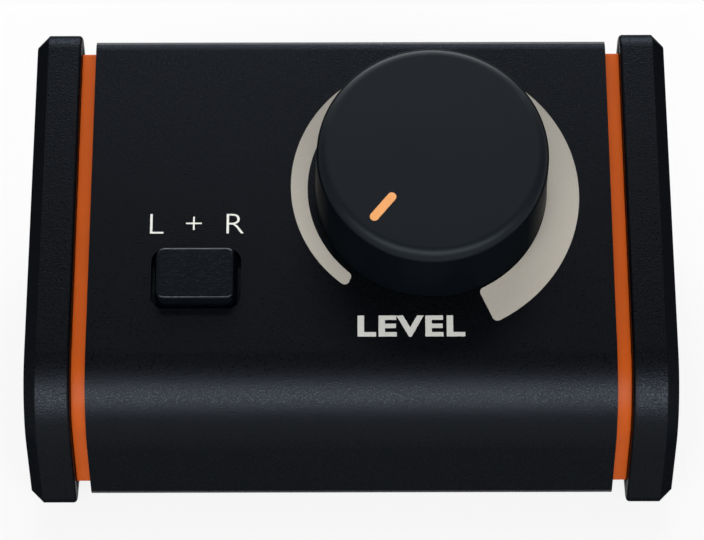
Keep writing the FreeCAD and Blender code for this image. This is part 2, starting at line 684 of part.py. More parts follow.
def on_knob_axis(item):
    """Place a piece that turns with the knob: its own +Y is where the pointer stands."""
    return on_panel(item, "knob_x", "knob_y", "knob_z", number("rest_angle"))


def at_knob(item):
    """Place a piece of the potentiometer that stays still."""
    return on_panel(item, "knob_x", "knob_y", "knob_z")


def make_knob():
    """Turned cap with a hollow underside, brass hub, inlaid pointer and grub screw."""
    cap = body("knob_cap")
    section = sketch_on(cap, "XZ_Plane")
    seat = "hub_radius + thread_gap"
    boss = "hub_radius + hub_boss"
    roof = "knob_height - knob_roof"
    polygon(section, [
        ("0", "hub_high"), (seat, "hub_high"), (seat, "hub_low"), (boss, "hub_low"),
        (boss, roof), ("knob_top_radius - knob_wall", roof),
        ("knob_radius - knob_wall", "knob_gap"), ("knob_radius", "knob_gap"),
        ("knob_top_radius", "knob_height"), ("0", "knob_height")])
    turned_shape = cap.newObject("PartDesign::Revolution", "Turned")
    turned_shape.Profile = section
    turned_shape.ReferenceAxis = (section, ["V_Axis"])
    turned_shape.Angle = 360
    rib = sketch_on(cap, "XY_Plane", "rib_low")
    rectangle(rib, "hub_radius + hub_boss / 2", "-rib_width / 2",
              "knob_top_radius - knob_wall / 2", "rib_width / 2")
    first_rib = pad(cap, rib, "knob_height - knob_roof / 2 - rib_low")
    doc.recompute()
    ribs = cap.newObject("PartDesign::PolarPattern", "Ribs")
    ribs.Originals = [first_rib]
    ribs.Axis = (rib, ["N_Axis"])
    ribs.Angle = 360
    bind(ribs, Occurrences="rib_count")
    cap.Tip = ribs
    dress(cap, "Fillet", on_plane(2, "knob_height"), Radius="knob_fillet")
    slot = sketch_on(cap, "XY_Plane", "knob_height")
    pointer_outline(slot, "pointer_width / 2 + thread_gap")
    pocket(cap, slot, "pointer_depth")
    key_hole = sketch_on(cap, "XZ_Plane", "knob_radius")
    circle(key_hole, "screw_radius + hole_gap", "0", "grub_height")
    pocket(cap, key_hole, "knob_radius - shaft_radius")
    on_knob_axis(cap)

    pointer = body("knob_pointer")
    strip = sketch_on(pointer, "XY_Plane", "knob_height - pointer_depth")
    pointer_outline(strip, "pointer_width / 2")
    pad(pointer, strip, "pointer_depth")
    on_knob_axis(pointer)

    hub = cylinder("hub_radius", "hub_high - hub_low", "0", "0", "hub_low")
    hub_bore = cylinder("shaft_radius + thread_gap", "hub_high - hub_low", "0", "0", "hub_low")
    hub_thread = cylinder("screw_radius + thread_gap", "hub_radius * 2", "0", "0", "grub_height",
                          (0, -1, 0))
    on_knob_axis(piece("knob_hub", cut(hub, hub_bore, hub_thread)))

    grub = cylinder("screw_radius", "grub_end - shaft_radius + flat_depth", "0",
                    "flat_depth - shaft_radius", "grub_height", (0, -1, 0))
    key = hexagon("small_socket_radius", "small_socket_depth", "0", "-grub_end", "grub_height",
                  (0, 1, 0))
    on_knob_axis(piece("knob_grub_screw", cut(grub, key)))


def pointer_outline(sketch, half_width):
    """Slot with round ends along the sketch's vertical axis."""
    low, high, half = number("pointer_start"), number("pointer_end"), number(half_width)
    centres = [FreeCAD.Vector(0, low + half, 0), FreeCAD.Vector(0, high - half, 0)]
    for centre, start in zip(centres, (180, 0)):
        whole = Part.Circle(centre, FreeCAD.Vector(0, 0, 1), half)
        end = Part.ArcOfCircle(whole, math.radians(start), math.radians(start + 180))
        sketch.addGeometry(end, False)
    for index in (0, 1):
        start, end = sketch.getPoint(index, 2), sketch.getPoint(1 - index, 1)
        sketch.addGeometry(Part.LineSegment(start, end), False)
        sketch.addConstraint(Sketcher.Constraint("Tangent", index, 2, 2 + index, 1))
        sketch.addConstraint(Sketcher.Constraint("Tangent", 2 + index, 2, 1 - index, 1))
    size = sketch.addConstraint(Sketcher.Constraint("Radius", 0, half))
    sketch.setExpression("Constraints[%d]" % size, formula(half_width))
    hold_point(sketch, 0, 3, "0", "pointer_start + pointer_width / 2")
    hold_point(sketch, 1, 3, "0", "pointer_end - pointer_width / 2")


def make_potentiometer():
    """Twin rotary control: bushing, nut and washer, can, two tracks, wipers, shaft and legs."""
    under = "-cover_wall - plate_thickness"
    plate = middle_box("bushing_plate", "bushing_plate", "plate_thickness", "0", "0", under)
    neck = cylinder("bushing_radius", "cover_wall + bushing_height", "0", "0", "-cover_wall")
    bore = cylinder("shaft_radius + thread_gap", "plate_thickness + cover_wall + bushing_height",
                    "0", "0", under)
    at_knob(piece("pot_bushing", cut(fuse(plate, neck), bore)))

    washer = cylinder("pot_washer_radius", "washer_thickness")
    washer_hole = cylinder("bushing_radius + hole_gap", "washer_thickness")
    at_knob(piece("pot_washer", cut(washer, washer_hole)))
    nut = hexagon("pot_nut_radius", "pot_nut_height", "0", "0", "washer_thickness")
    nut_hole = cylinder("bushing_radius + thread_gap", "pot_nut_height", "0", "0",
                        "washer_thickness")
    at_knob(piece("pot_nut", cut(nut, nut_hole)))

    can = cylinder("can_radius", "control_depth + (%s)" % under, "0", "0", "-control_depth")
    room = cylinder("can_radius - can_wall", "control_depth", "0", "0",
                    "can_wall - control_depth")
    side_slot = box("can_slot", "can_radius", "control_depth - can_wall", "-can_slot / 2",
                    "can_radius / 2", "can_wall - control_depth")
    at_knob(piece("pot_can", cut(can, room, side_slot)))

    tracks = []
    legs = []
    wipers = []
    for depth, reach in (("first_track", "can_radius + far_legs"),
                         ("second_track", "can_radius + near_legs")):
        low = "-%s - track_thickness" % depth
        disc = cylinder("track_radius", "track_thickness", "0", "0", low)
        tongue = box("tongue_width", reach, "track_thickness", "-tongue_width / 2", "0", low)
        hole = cylinder("track_hole", "track_thickness", "0", "0", low)
        tracks.append(cut(fuse(disc, tongue), hole))
        for place in (-1, 0, 1):
            legs.append(middle_box("leg_width", "leg_thickness", "leg_low - " + depth,
                                   "leg_pitch * %d" % place, reach + " + leg_thickness / 2",
                                   "-leg_low"))
        ring_low = low + " - wiper_gap - wiper_thickness"
        ring = cylinder("track_hole + wiper_ring", "wiper_thickness", "0", "0", ring_low)
        arm = box("wiper_width", "wiper_reach", "wiper_thickness", "-wiper_width / 2", "0",
                  ring_low)
        middle = cylinder("shaft_radius + thread_gap / 2", "wiper_thickness", "0", "0", ring_low)
        wipers.append(cut(fuse(ring, arm), middle))
    at_knob(piece("pot_tracks", group(tracks)))
    at_knob(piece("pot_legs", group(legs)))
    on_knob_axis(piece("pot_wipers", group(wipers)))

    shaft = cylinder("shaft_radius", "shaft_top + control_depth - can_wall - wiper_gap", "0", "0",
                     "can_wall + wiper_gap - control_depth")
    flat = box("shaft_radius * 2", "shaft_radius", "shaft_top", "-shaft_radius",
               "flat_depth - shaft_radius * 2", "hub_low + flat_gap")
    on_knob_axis(piece("pot_shaft", cut(shaft, flat)))


# ---------------------------------------------------------------- button and switch


def at_button(item):
    """Place a piece of the button or of its switch."""
    return on_panel(item, "button_x", "button_y", "button_z")


def make_button():
    """Moulded cap: straight skirt with a flange under the panel, tapered top, hollow inside."""
    cap = body("button_cap")
    skirt_top = "-cover_wall - cap_rest_gap"
    flange = sketch_on(cap, "XY_Plane", skirt_top + " - cap_skirt")
    window_outline(flange, "(cap_length / 2 + cap_flange)", "(cap_width / 2 + cap_flange)",
                   "cap_corner")
    pad(cap, flange, "cap_skirt")
    wall = sketch_on(cap, "XY_Plane", skirt_top)
    window_outline(wall, "(cap_length / 2)", "(cap_width / 2)", "cap_corner")
    pad(cap, wall, "cover_wall + cap_rest_gap")
    crown = sketch_on(cap, "XY_Plane")
    window_outline(crown, "(cap_length / 2)", "(cap_width / 2)", "cap_corner")
    pad(cap, crown, "cap_height", "-cap_taper")
    dress(cap, "Fillet", on_plane(2, "cap_height"), Radius="cap_edge")

    # hollow from below, with a stem left in the middle, then the stem's square socket
    hollow = sketch_on(cap, "XY_Plane", "cap_height - cap_roof")
    window_outline(hollow, "(cap_length / 2 - cap_wall)", "(cap_width / 2 - cap_wall)",
                   "cap_inner_corner")
    rectangle(hollow, "-stem_size / 2", "-stem_size / 2", "stem_size / 2", "stem_size / 2")
    pocket(cap, hollow, "cap_height + cover_wall + cap_rest_gap + cap_skirt")
    stem_end = sketch_on(cap, "XY_Plane", "-stem_drop")
    reach = "stem_size / 2 + thread_gap"
    rectangle(stem_end, "-(%s)" % reach, "-(%s)" % reach, reach, reach)
    pocket(cap, stem_end, "cover_wall + cap_rest_gap + cap_skirt - stem_drop")
    socket = sketch_on(cap, "XY_Plane", "plunger_top")
    half = "plunger_size / 2 + plunger_fit / 2"
    rectangle(socket, "-(%s)" % half, "-(%s)" % half, half, half)
    pocket(cap, socket, "plunger_top + stem_drop")
    at_button(cap)

    under = "-control_depth"
    roof_low = "switch_height - switch_roof - control_depth"
    foot_low = "switch_floor + spring_pack + button_travel - control_depth"
    shell = middle_box("switch_size", "switch_size", "switch_height", "0", "0", under)
    chamber = middle_box("chamber_size", "chamber_size",
                         "switch_height - switch_floor - switch_roof", "0", "0",
                         "switch_floor - control_depth")
    doorway = middle_box("plunger_size + plunger_fit * 2", "plunger_size + plunger_fit * 2",
                         "switch_height", "0", "0", "switch_floor - control_depth")
    legs = []
    leg_slots = []
    for side in ("-", ""):
        for place in (-1, 0, 1):
            x = side + "(chamber_size / 2 - switch_leg / 2)"
            y = "switch_leg_pitch * %d" % place
            legs.append(middle_box("switch_leg", "leg_width", "leg_low + (%s) - switch_leg_gap"
                                   % roof_low, x, y, "-leg_low"))
            leg_slots.append(middle_box("switch_leg", "leg_width", "switch_floor", x, y, under))
    at_button(piece("switch_housing", cut(shell, chamber, doorway, *leg_slots)))
    at_button(piece("switch_legs", group(legs)))

    foot = middle_box("plunger_foot", "plunger_foot", "plunger_foot_height", "0", "0", foot_low)
    stem = middle_box("plunger_size", "plunger_size", "plunger_top - (%s)" % foot_low, "0", "0",
                      foot_low)
    at_button(piece("switch_plunger", fuse(foot, stem)))

    sliders = []
    for side in ("-", ""):
        x = side + "(plunger_foot / 2 + slider_thickness / 2)"
        low = foot_low + " + (plunger_foot_height - slider_height) / 2"
        sliders.append(middle_box("slider_thickness", "slider_length", "slider_height", x, "0",
                                  low))
    at_button(piece("switch_sliders", group(sliders)))

    # the spring is half turns of round wire, each tilted to rise by half the pitch
    low = "switch_floor - control_depth + spring_wire"
    rise = "((%s) - spring_wire - (%s)) / %d" % (foot_low, low, SPRING_TURNS * 2)
    tilt = "atan(%s / (spring_radius * 2))" % rise
    coil = []
    for index in range(SPRING_TURNS * 2):
        half_turn = bind(doc.addObject("Part::Torus", "Coil"), Radius2="spring_wire",
                         Radius1="spring_radius / cos(%s)" % tilt)
        half_turn.Angle3 = 180
        lean = FreeCAD.Rotation(FreeCAD.Vector(0, 1, 0), number(tilt))
        facing = FreeCAD.Rotation(FreeCAD.Vector(0, 0, 1), 180 * (index % 2))
        coil.append(at(half_turn, "0", "0", "%s + %s * %s" % (low, rise, index + 0.5),
                       facing.multiply(lean)))
    at_button(piece("switch_spring", fuse(*coil)))


# ---------------------------------------------------------------- boards


def make_control_board():
    """Board under the panel that carries the potentiometer and the switch."""
    sheet_stock = box("control_left + control_right", "control_front - control_rear",
                      "board_thickness", "-control_left", "-control_front", "-control_low")
    holes = []
    for reach in ("can_radius + far_legs", "can_radius + near_legs"):
        for place in (-1, 0, 1):
            holes.append(middle_box("leg_width + hole_gap", "leg_thickness + hole_gap",
                                    "board_thickness", "knob_x + leg_pitch * %d" % place,
                                    "-knob_from_rear + %s + leg_thickness / 2" % reach,
                                    "-control_low"))
    for side in ("-", "+"):
        for place in (-1, 0, 1):
            holes.append(middle_box("switch_leg + hole_gap", "leg_width + hole_gap",
                                    "board_thickness",
                                    "button_x %s (chamber_size / 2 - switch_leg / 2)" % side,
                                    "-button_from_rear + switch_leg_pitch * %d" % place,
                                    "-control_low"))
    spacers = []
    screws = []
    for x, rear in (("left_spacer_x", "left_spacer_rear"),
                    ("right_spacer_x", "right_spacer_rear")):
        y = "-" + rear
        holes.append(cylinder("screw_radius + hole_gap", "board_thickness", x, y, "-control_low"))
        post = cylinder("spacer_radius", "control_depth - cover_wall", x, y, "-control_depth")
        thread = cylinder("screw_radius + thread_gap", "spacer_thread", x, y, "-control_depth")
        spacers.append(cut(post, thread))
        screws.append(cap_screw(x, y, "-control_low", (0, 0, 1), "panel_screw_length"))
    panel = ("0", "case_rear", "case_top")
    on_panel(piece("control_board", cut(sheet_stock, *holes)), *panel)
    on_panel(piece("control_spacers", group(spacers)), *panel)
    on_panel(piece("control_screws", group(screws)), *panel)


def strip_places(count, pitch):
    """Depths of a socket's contact strips behind the rear panel."""
    return ["panel_inside - strip_first - %s * %d" % (pitch, index) for index in range(count)]


def make_socket(name, x, width, length, height, bore, nose, pitch):
    """Jack socket: block with a threaded nose, a round bore and slots for its contact strips."""
    block = box(width, length, height, "%s - %s / 2" % (x, width), "panel_inside - " + length,
                "board_top")
    neck = cylinder(nose, "tray_wall + nose_length", x, "panel_inside", "jack_axis", (0, 1, 0))
    hole = cylinder(bore, length + " - socket_back + tray_wall + nose_length", x,
                    "panel_inside - %s + socket_back" % length, "jack_axis", (0, 1, 0))
    slots = []
    strips = []
    tails = []
    top = "jack_axis - %s - strip_gap" % bore
    for place in strip_places(3, pitch):
        slots.append(middle_box("strip_width + slot_gap * 2", "strip_length + slot_gap * 2",
                                "jack_axis - board_top - %s / 2" % bore, x, place, "board_top"))
        strip = middle_box("strip_width", "strip_length", "strip_thickness", x, place,
                           top + " - strip_thickness")
        tail = middle_box("leg_width", "leg_thickness",
                          "(%s) - board_low + leg_tail - strip_thickness / 2" % top, x, place,
                          "board_low - leg_tail")
        strips.append(fuse(strip, tail))
        tails.append(middle_box("leg_width + hole_gap", "leg_thickness + hole_gap",
                                "board_thickness", x, place, "board_low"))
    piece(name, cut(fuse(block, neck), hole, *slots))
    return strips, tails


def ring_and_nut(x, nose, washer_radius, nut_radius, nut_height):
    """Washer and hexagon nut on a socket's nose."""
    washer = cut(cylinder(washer_radius, "washer_thickness", x, "inner_rear", "jack_axis",
                          (0, 1, 0)),
                 cylinder(nose + " + hole_gap", "washer_thickness", x, "inner_rear", "jack_axis",
                          (0, 1, 0)))
    seat = "inner_rear + washer_thickness"
    nut = cut(hexagon(nut_radius, nut_height, x, seat, "jack_axis", (0, 1, 0)),
              cylinder(nose + " + thread_gap", nut_height, x, seat, "jack_axis", (0, 1, 0)))
    return washer, nut


def make_jacks():
    """Four large sockets and a small one in the middle, with washers, nuts and contacts."""
    washers = []
    nuts = []
    contacts = []
    tails = []
    for name, x in JACKS.items():
        strips, holes = make_socket(name, x, "jack_width", "jack_length", "jack_height",
                                    "jack_bore", "jack_nose", "strip_pitch")
        contacts.extend(strips)
        tails.extend(holes)
        washer, nut = ring_and_nut(x, "jack_nose", "jack_washer_radius", "jack_nut_radius",
                                   "jack_nut_height")
        washers.append(washer)
        nuts.append(nut)
    piece("jack_washers", group(washers))
    piece("jack_nuts", group(nuts))
    piece("jack_contacts", group(contacts))

    strips, holes = make_socket("mini_jack", "0", "mini_width", "mini_length", "mini_height",
                                "mini_bore", "mini_nose", "mini_strip_pitch")
    tails.extend(holes)
    washer, nut = ring_and_nut("0", "mini_nose", "mini_washer_radius", "mini_nut_radius",
                               "mini_nut_height")
    piece("mini_jack_washer", washer)
    piece("mini_jack_nut", nut)
    piece("mini_jack_contacts", group(strips))
    return tails


def make_jack_board(tails):
    """Board on the tray that carries the sockets, with its standoffs, resistors and links."""
    stock = box("board_half * 2", "jack_board_depth", "board_thickness", "-board_half",
                "board_front", "board_low")
    standoffs = []
    screws = []
    holes = list(tails)
    for sign in ("-", ""):
        x = sign + "standoff_x"
        post = cylinder("nut_body_radius", "jack_board_rise", x, "standoff_y", "base_top")
        thread = cylinder("screw_radius + thread_gap", "jack_board_rise", x, "standoff_y",
                          "base_top")
        standoffs.append(cut(post, thread))
        holes.append(cylinder("screw_radius + hole_gap", "board_thickness", x, "standoff_y",
                              "board_low"))
        screws.append(cap_screw(x, "standoff_y", "board_top", (0, 0, -1),
                                "board_thickness + jack_board_rise + tray_wall"))
    piece("board_standoffs", group(standoffs))
    piece("board_screws", group(screws))

    resistors = []
    for index in range(RESISTORS):
        x = "resistor_pitch * %s + resistor_x" % (index - (RESISTORS - 1) / 2)
        resistors.append(resistor(x))
    piece("resistors", group(resistors))

    # bare link wires bend about the line where the planes of the two boards meet
    meet = "(case_rear - (case_top - board_top) / tan(slope) + control_low / sin(slope))"
    upright = FreeCAD.Rotation(FreeCAD.Vector(0, 1, 0), FreeCAD.Vector(0, 0, 1),
                               FreeCAD.Vector(1, 0, 0), "ZXY")
    links = []
    for index in range(LINKS):
        x = "link_pitch * %s" % (index - (LINKS - 1) / 2)
        wire = bind(doc.addObject("Part::Torus", "Link"), Radius1="link_y - " + meet,
                    Radius2="link_radius", Angle3="slope")
        at(wire, x, meet, "board_top", upright)
        links.append(wire)
    piece("board_links", group(links))
    piece("jack_board", cut(stock, *holes))


def resistor(x):
    """Small resistor that lies on the jack board, with a lead down at each end."""
    height = "board_top + resistor_radius"
    barrel = cylinder("resistor_radius", "resistor_length", x, "resistor_y - resistor_length / 2",
                      height, (0, 1, 0))
    lead = cylinder("resistor_wire", "resistor_span", x, "resistor_y - resistor_span / 2",
                    height, (0, 1, 0))
    ends = [cylinder("resistor_wire", "resistor_radius + resistor_wire", x,
                     "resistor_y %s (resistor_span / 2 - resistor_wire)" % sign, "board_top")
            for sign in ("-", "+")]
    return fuse(barrel, lead, *ends)


# ---------------------------------------------------------------- build, check and write

make_cover()
for side_name, side in (("left", -1), ("right", 1)):
    make_end_plate("end_plate_" + side_name, side)
    make_cheek("cheek_" + side_name, side)
make_side_fasteners()
make_tray()
make_feet()
make_knob()
make_potentiometer()
make_button()
make_control_board()
make_jack_board(make_jacks())
doc.recompute()

for item in doc.Objects:
    if "Invalid" in item.State or "Error" in item.State:
        raise RuntimeError("%s (%s) failed: %s" % (item.Name, item.Label, item.State))
for name, item in pieces.items():
    if item.Shape.isNull() or not item.Shape.isValid() or not item.Shape.Solids:
        raise RuntimeError("%s has no valid shape" % name)

os.makedirs("parts", exist_ok=True)
for name, item in pieces.items():
    item.Shape.exportStep("parts/%s.step" % name)
print("%d nodes, %d solids" % (len(pieces), sum(len(i.Shape.Solids) for i in pieces.values())))
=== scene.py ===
# %% [markdown]
# # Dressing a level controller for studio monitors
# The object is a small steel box with a sloping panel. It has one large knob inside a printed dial ring,
# one push button, orange end plates and thick black cheeks. Its shape is already made, as a imported CAD
# model. This lesson gives every piece its finish, adds what is printed on it, and lights it.
# The model is loaded first. Its nodes sit in one frame, in metres, and are never moved.

# %% Load the imported model
import json
from math import cos, degrees, pi, radians, sin, sqrt

import bpy
import bmesh
from mathutils import Matrix, Vector


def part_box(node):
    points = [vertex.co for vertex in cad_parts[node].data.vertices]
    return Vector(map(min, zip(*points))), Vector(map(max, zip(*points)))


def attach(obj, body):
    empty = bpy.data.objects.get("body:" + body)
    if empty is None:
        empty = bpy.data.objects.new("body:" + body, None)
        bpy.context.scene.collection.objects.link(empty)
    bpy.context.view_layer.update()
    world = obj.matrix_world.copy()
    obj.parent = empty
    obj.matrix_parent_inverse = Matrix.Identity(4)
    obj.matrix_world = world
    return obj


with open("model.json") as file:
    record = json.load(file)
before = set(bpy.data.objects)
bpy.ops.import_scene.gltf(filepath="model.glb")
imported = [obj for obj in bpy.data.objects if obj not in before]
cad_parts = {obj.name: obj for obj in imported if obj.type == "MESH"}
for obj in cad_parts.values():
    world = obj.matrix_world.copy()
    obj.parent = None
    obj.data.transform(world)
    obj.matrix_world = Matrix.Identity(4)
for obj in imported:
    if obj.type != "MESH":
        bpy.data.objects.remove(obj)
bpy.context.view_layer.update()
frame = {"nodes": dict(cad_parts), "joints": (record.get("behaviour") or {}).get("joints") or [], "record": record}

MM = 0.001

# %% [markdown]
# ## Where the panel is
# Everything printed lies on the sloping panel. Its place could be typed in, but the knob's joint already
# holds it: the joint's axis points into the panel, and its position is where that axis meets the paint.
# From these two a small frame follows: right, up the slope, and out of the paint.

# %% The panel's own frame
knob_joint = next(joint for joint in frame["joints"] if joint["name"] == "knob_turn")
knob_foot = Vector(knob_joint["pos_m"])
panel_out = -Vector(knob_joint["axis"]).normalized()
panel_right = Vector((1, 0, 0))
panel_up = panel_out.cross(panel_right)


def standing(right, up, out, origin):
    """The matrix that carries flat work (x right, y up, z out) to its place on the object."""
    turned = Matrix((right, up, out)).transposed().to_4x4()
    return Matrix.Translation(origin) @ turned


panel = standing(panel_right, panel_up, panel_out, knob_foot)
button_low, button_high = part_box("button_cap")
button_middle = (button_low + button_high) / 2 - knob_foot
button_right = button_middle.dot(panel_right)
button_up = button_middle.dot(panel_up)
print("the panel slopes by", round(degrees(panel_out.angle(Vector((0, 0, 1)))), 1), "degrees")
print("button", round(button_right / MM, 1), round(button_up / MM, 1), "mm from the knob")

# %% [markdown]
# ## Shader maths as plain expressions
# A finish is a small network of nodes. Drawn by hand it soon turns into a web, so two helpers stand
# for it here. A `Field` is one socket whose value changes over the surface; adding or multiplying fields
# adds the Math nodes. A `Recipe` is one material: it makes any other node from its type, its settings
# and the values or links of its sockets, and it knows the few mixtures that the finishes share.

# %% A field: one socket with arithmetic


class Field:
    """A value that changes over a surface. Arithmetic on it adds Math nodes."""

    def __init__(self, recipe, socket):
        self.recipe = recipe
        self.socket = socket

    def math(self, operation, first, second=0.0):
        return self.recipe.node("ShaderNodeMath", {"operation": operation}, {0: first, 1: second})

    def __add__(self, other):
        return self.math("ADD", self, other)

    def __radd__(self, other):
        return self.math("ADD", other, self)

    def __sub__(self, other):
        return self.math("SUBTRACT", self, other)

    def __rsub__(self, other):
        return self.math("SUBTRACT", other, self)

    def __mul__(self, other):
        return self.math("MULTIPLY", self, other)

    def __rmul__(self, other):
        return self.math("MULTIPLY", other, self)

    def __truediv__(self, other):
        return self.math("DIVIDE", self, other)

    def __pow__(self, other):
        return self.math("POWER", self, other)

    def __lt__(self, other):
        return self.math("LESS_THAN", self, other)

    def __gt__(self, other):
        return self.math("GREATER_THAN", self, other)

    def __mod__(self, other):
        return self.math("FLOORED_MODULO", self, other)

    def __abs__(self):
        return self.math("ABSOLUTE", self)

    def clamped(self, low=0.0, high=1.0):
        return self.math("MINIMUM", self.math("MAXIMUM", self, low), high)


print("tool: Field")

# %% A recipe: one material, written in lines
BEVEL_SAMPLES = 6
EDGE_GAIN = 6.0


class Recipe:
    """The node tree of one finish. All lengths are in metres on the real object."""

    def __init__(self, name):
        self.material = bpy.data.materials.new(name)
        self.material.use_nodes = True
        self.start(self.material.node_tree)

    def start(self, tree):
        self.tree = tree
        tree.nodes.clear()
        self.places = None

    def node(self, kind, settings=None, inputs=None, out=0):
        """A node from its type, its settings, and a value or a field for each socket that is named."""
        made = self.tree.nodes.new(kind)
        for name, value in (settings or {}).items():
            setattr(made, name, value)
        for name, value in (inputs or {}).items():
            self.plug(made.inputs[name], value)
        return Field(self, made.outputs[out]) if made.outputs else None

    def plug(self, socket, value):
        if isinstance(value, Field):
            self.tree.links.new(value.socket, socket)
        elif socket.type == "RGBA" and len(value) == 3:
            socket.default_value = (*value, 1)
        else:
            socket.default_value = value

    def place(self):
        """The point on the object, in metres. One node serves the whole recipe."""
        if self.places is None:
            self.places = self.node("ShaderNodeTexCoord", out="Object")
        return self.places

    def along(self, axis):
        """How far a point lies along x, y or z (0, 1 or 2)."""
        return self.node("ShaderNodeSeparateXYZ", inputs={0: self.place()}, out=axis)

    def stretched(self, stretch):
        """The place, drawn out by a factor along each axis, for marks that are longer than wide."""
        if stretch == (1, 1, 1):
            return self.place()
        squeezed = tuple(1 / factor for factor in stretch)
        inputs = {0: self.place(), 1: squeezed}
        return self.node("ShaderNodeVectorMath", {"operation": "MULTIPLY"}, inputs)

    def noise(self, size, detail=2.0, stretch=(1, 1, 1), roughness=0.5):
        inputs = {
            "Vector": self.stretched(stretch),
            "Scale": 1 / size,
            "Detail": detail,
            "Roughness": roughness,
        }
        return self.node("ShaderNodeTexNoise", {}, inputs)

    def cells(self, size):
        """Rounded pits about as wide as the size: 0 at the middle of each."""
        inputs = {"Vector": self.place(), "Scale": 1 / size}
        return self.node("ShaderNodeTexVoronoi", {}, inputs, out="Distance")

    def between(self, mask, low, high):
        """A colour that runs from low to high as the mask runs from 0 to 1."""
        return self.node("ShaderNodeMix", {"data_type": "RGBA"}, {0: mask, 6: low, 7: high}, out=2)

    def shades(self, mask, colour, spread):
        """The colour made darker and lighter by a share, where the mask is low and high."""
        darker = tuple(part * (1 - spread) for part in colour)
        lighter = tuple(part * (1 + spread) for part in colour)
        return self.between(mask, darker, lighter)

    def bump(self, height, depth, under=None):
        """A normal tilted by relief that is `depth` metres high where the height field spans 0 to 1."""
        inputs = {"Strength": 1.0, "Distance": depth, "Height": height}
        if under is not None:
            inputs["Normal"] = under
        return self.node("ShaderNodeBump", {}, inputs)

    def rounded(self, radius):
        """A normal that softens edges sharper than the radius."""
        return self.node("ShaderNodeBevel", {"samples": BEVEL_SAMPLES}, {"Radius": radius})

    def edge_mask(self, radius):
        """1 along edges and 0 on flat faces: how far the softened normal leaves the true one."""
        true = self.node("ShaderNodeNewGeometry", out="Normal")
        inputs = {0: true, 1: self.rounded(radius)}
        same = self.node("ShaderNodeVectorMath", {"operation": "DOT_PRODUCT"}, inputs, out="Value")
        return ((1 - same) * EDGE_GAIN).clamped()

    def shader(self, **sockets):
        """One layer. Keys are its sockets' names with underscores for spaces."""
        named = {name.replace("_", " "): value for name, value in sockets.items()}
        return self.node("ShaderNodeBsdfPrincipled", {}, named, out="BSDF")

    def surface(self, **sockets):
        """A surface of one layer."""
        self.node("ShaderNodeOutputMaterial", {}, {"Surface": self.shader(**sockets)})

    def facing(self):
        """0 where a face looks at the eye and 1 where it is seen along its surface."""
        return self.node("ShaderNodeLayerWeight", {}, {"Blend": 0.5}, out="Facing")

    def blended(self, share, low, high):
        """A surface of two layers. The share of the high one may vary from point to point."""
        both = self.node("ShaderNodeMixShader", {}, {0: share, 1: low, 2: high})
        self.node("ShaderNodeOutputMaterial", {}, {"Surface": both})


print("tool: Recipe")

# %% [markdown]
# ## One function for each finish
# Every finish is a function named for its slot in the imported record. The decorator below runs it on a
# new recipe and files the material under that name, so the nodes can find it later.

# %% File a finish under its slot
FINISHES = {}


def finish(build):
    recipe = Recipe(build.__name__)
    build(recipe)
    FINISHES[build.__name__] = recipe.material
    print("finish", build.__name__, len(recipe.tree.nodes), "nodes")
    return build


# %% [markdown]
# ## Black powder coat
# The cover is bent steel sheet, powder coated black. The powder melts into a hard skin with a fine grain,
# about a quarter of a millimetre across. Seen close, its crests are smooth and its hollows dull. So the
# grain shows where a highlight crosses the coat, above all on the long front bend, and the flat panel
# looks almost even. The bump is slight here, and most of the grain is carried by the roughness.
#
# A black coat sends back little but the shine of its skin. It is shaded as a very dark metal, whose base
# colour is the share of light it reflects straight on, and whose specular tint scales what it reflects
# at a glancing angle. One tint can't serve the whole cover: the front wall has to stay dark while the
# small rear bend, which the eye meets at a glancing angle, shines. So two layers are mixed by that angle.

# %% What the coats share
GRAIN = 0.23 * MM
GRAIN_RELIEF = 0.034 * MM
GLOSS = (0.0111, 0.0125, 0.0151)
GLOSS_SPREAD = 0.16
CREST_CONTRAST = 2.5
PATCH_SHARE = 0.2
HOLLOW_ROUGHNESS = 0.66
CREST_POLISH = 0.56


def coat_gloss(recipe, fine, patch_size):
    """The reflectance: higher on the crests of the grain, and slowly changing from patch to patch."""
    patches = recipe.noise(patch_size, detail=3)
    crests = (fine - 0.5) * CREST_CONTRAST + 0.5 + (patches - 0.5) * PATCH_SHARE
    return recipe.shades(crests.clamped(), GLOSS, GLOSS_SPREAD)


def coat_roughness(fine):
    """Dull in the hollows of the grain and smooth on its crests."""
    return HOLLOW_ROUGHNESS - CREST_POLISH * fine


print("grain", round(GRAIN / MM, 2), "mm across and", round(GRAIN_RELIEF / MM, 3), "mm deep")

# %% The coat on the cover
STEEP_GLOSS = (0.15, 0.15, 0.15)
SHALLOW_GLOSS = (0.9, 0.9, 0.9)
SHALLOW_START = 0.38
SHALLOW_RISE = 6.0


@finish
def cover_paint(recipe):
    fine = recipe.noise(GRAIN, detail=0)
    skin = {
        "Base_Color": coat_gloss(recipe, fine, patch_size=9 * MM),
        "Metallic": 1.0,
        "Roughness": coat_roughness(fine),
        "Normal": recipe.bump(fine, GRAIN_RELIEF),
    }
    steep = recipe.shader(Specular_Tint=STEEP_GLOSS, **skin)
    shallow = recipe.shader(Specular_Tint=SHALLOW_GLOSS, **skin)
    share = ((recipe.facing() - SHALLOW_START) * SHALLOW_RISE).clamped()
    recipe.blended(share, steep, shallow)


# %% [markdown]
# The tray behind and below has the same coat, thinner and rougher, and rubbed lighter along its cut
# edges. It needs one layer only. The mask finds the edges by comparing a softened normal with the true
# one, and a noise over it leaves the wear in patches.

# %% The coat on the tray
BLACK = (0.0007, 0.0011, 0.0020)
RUBBED_GREY = (0.06, 0.06, 0.06)
TRAY_GRAIN = GRAIN * 1.3


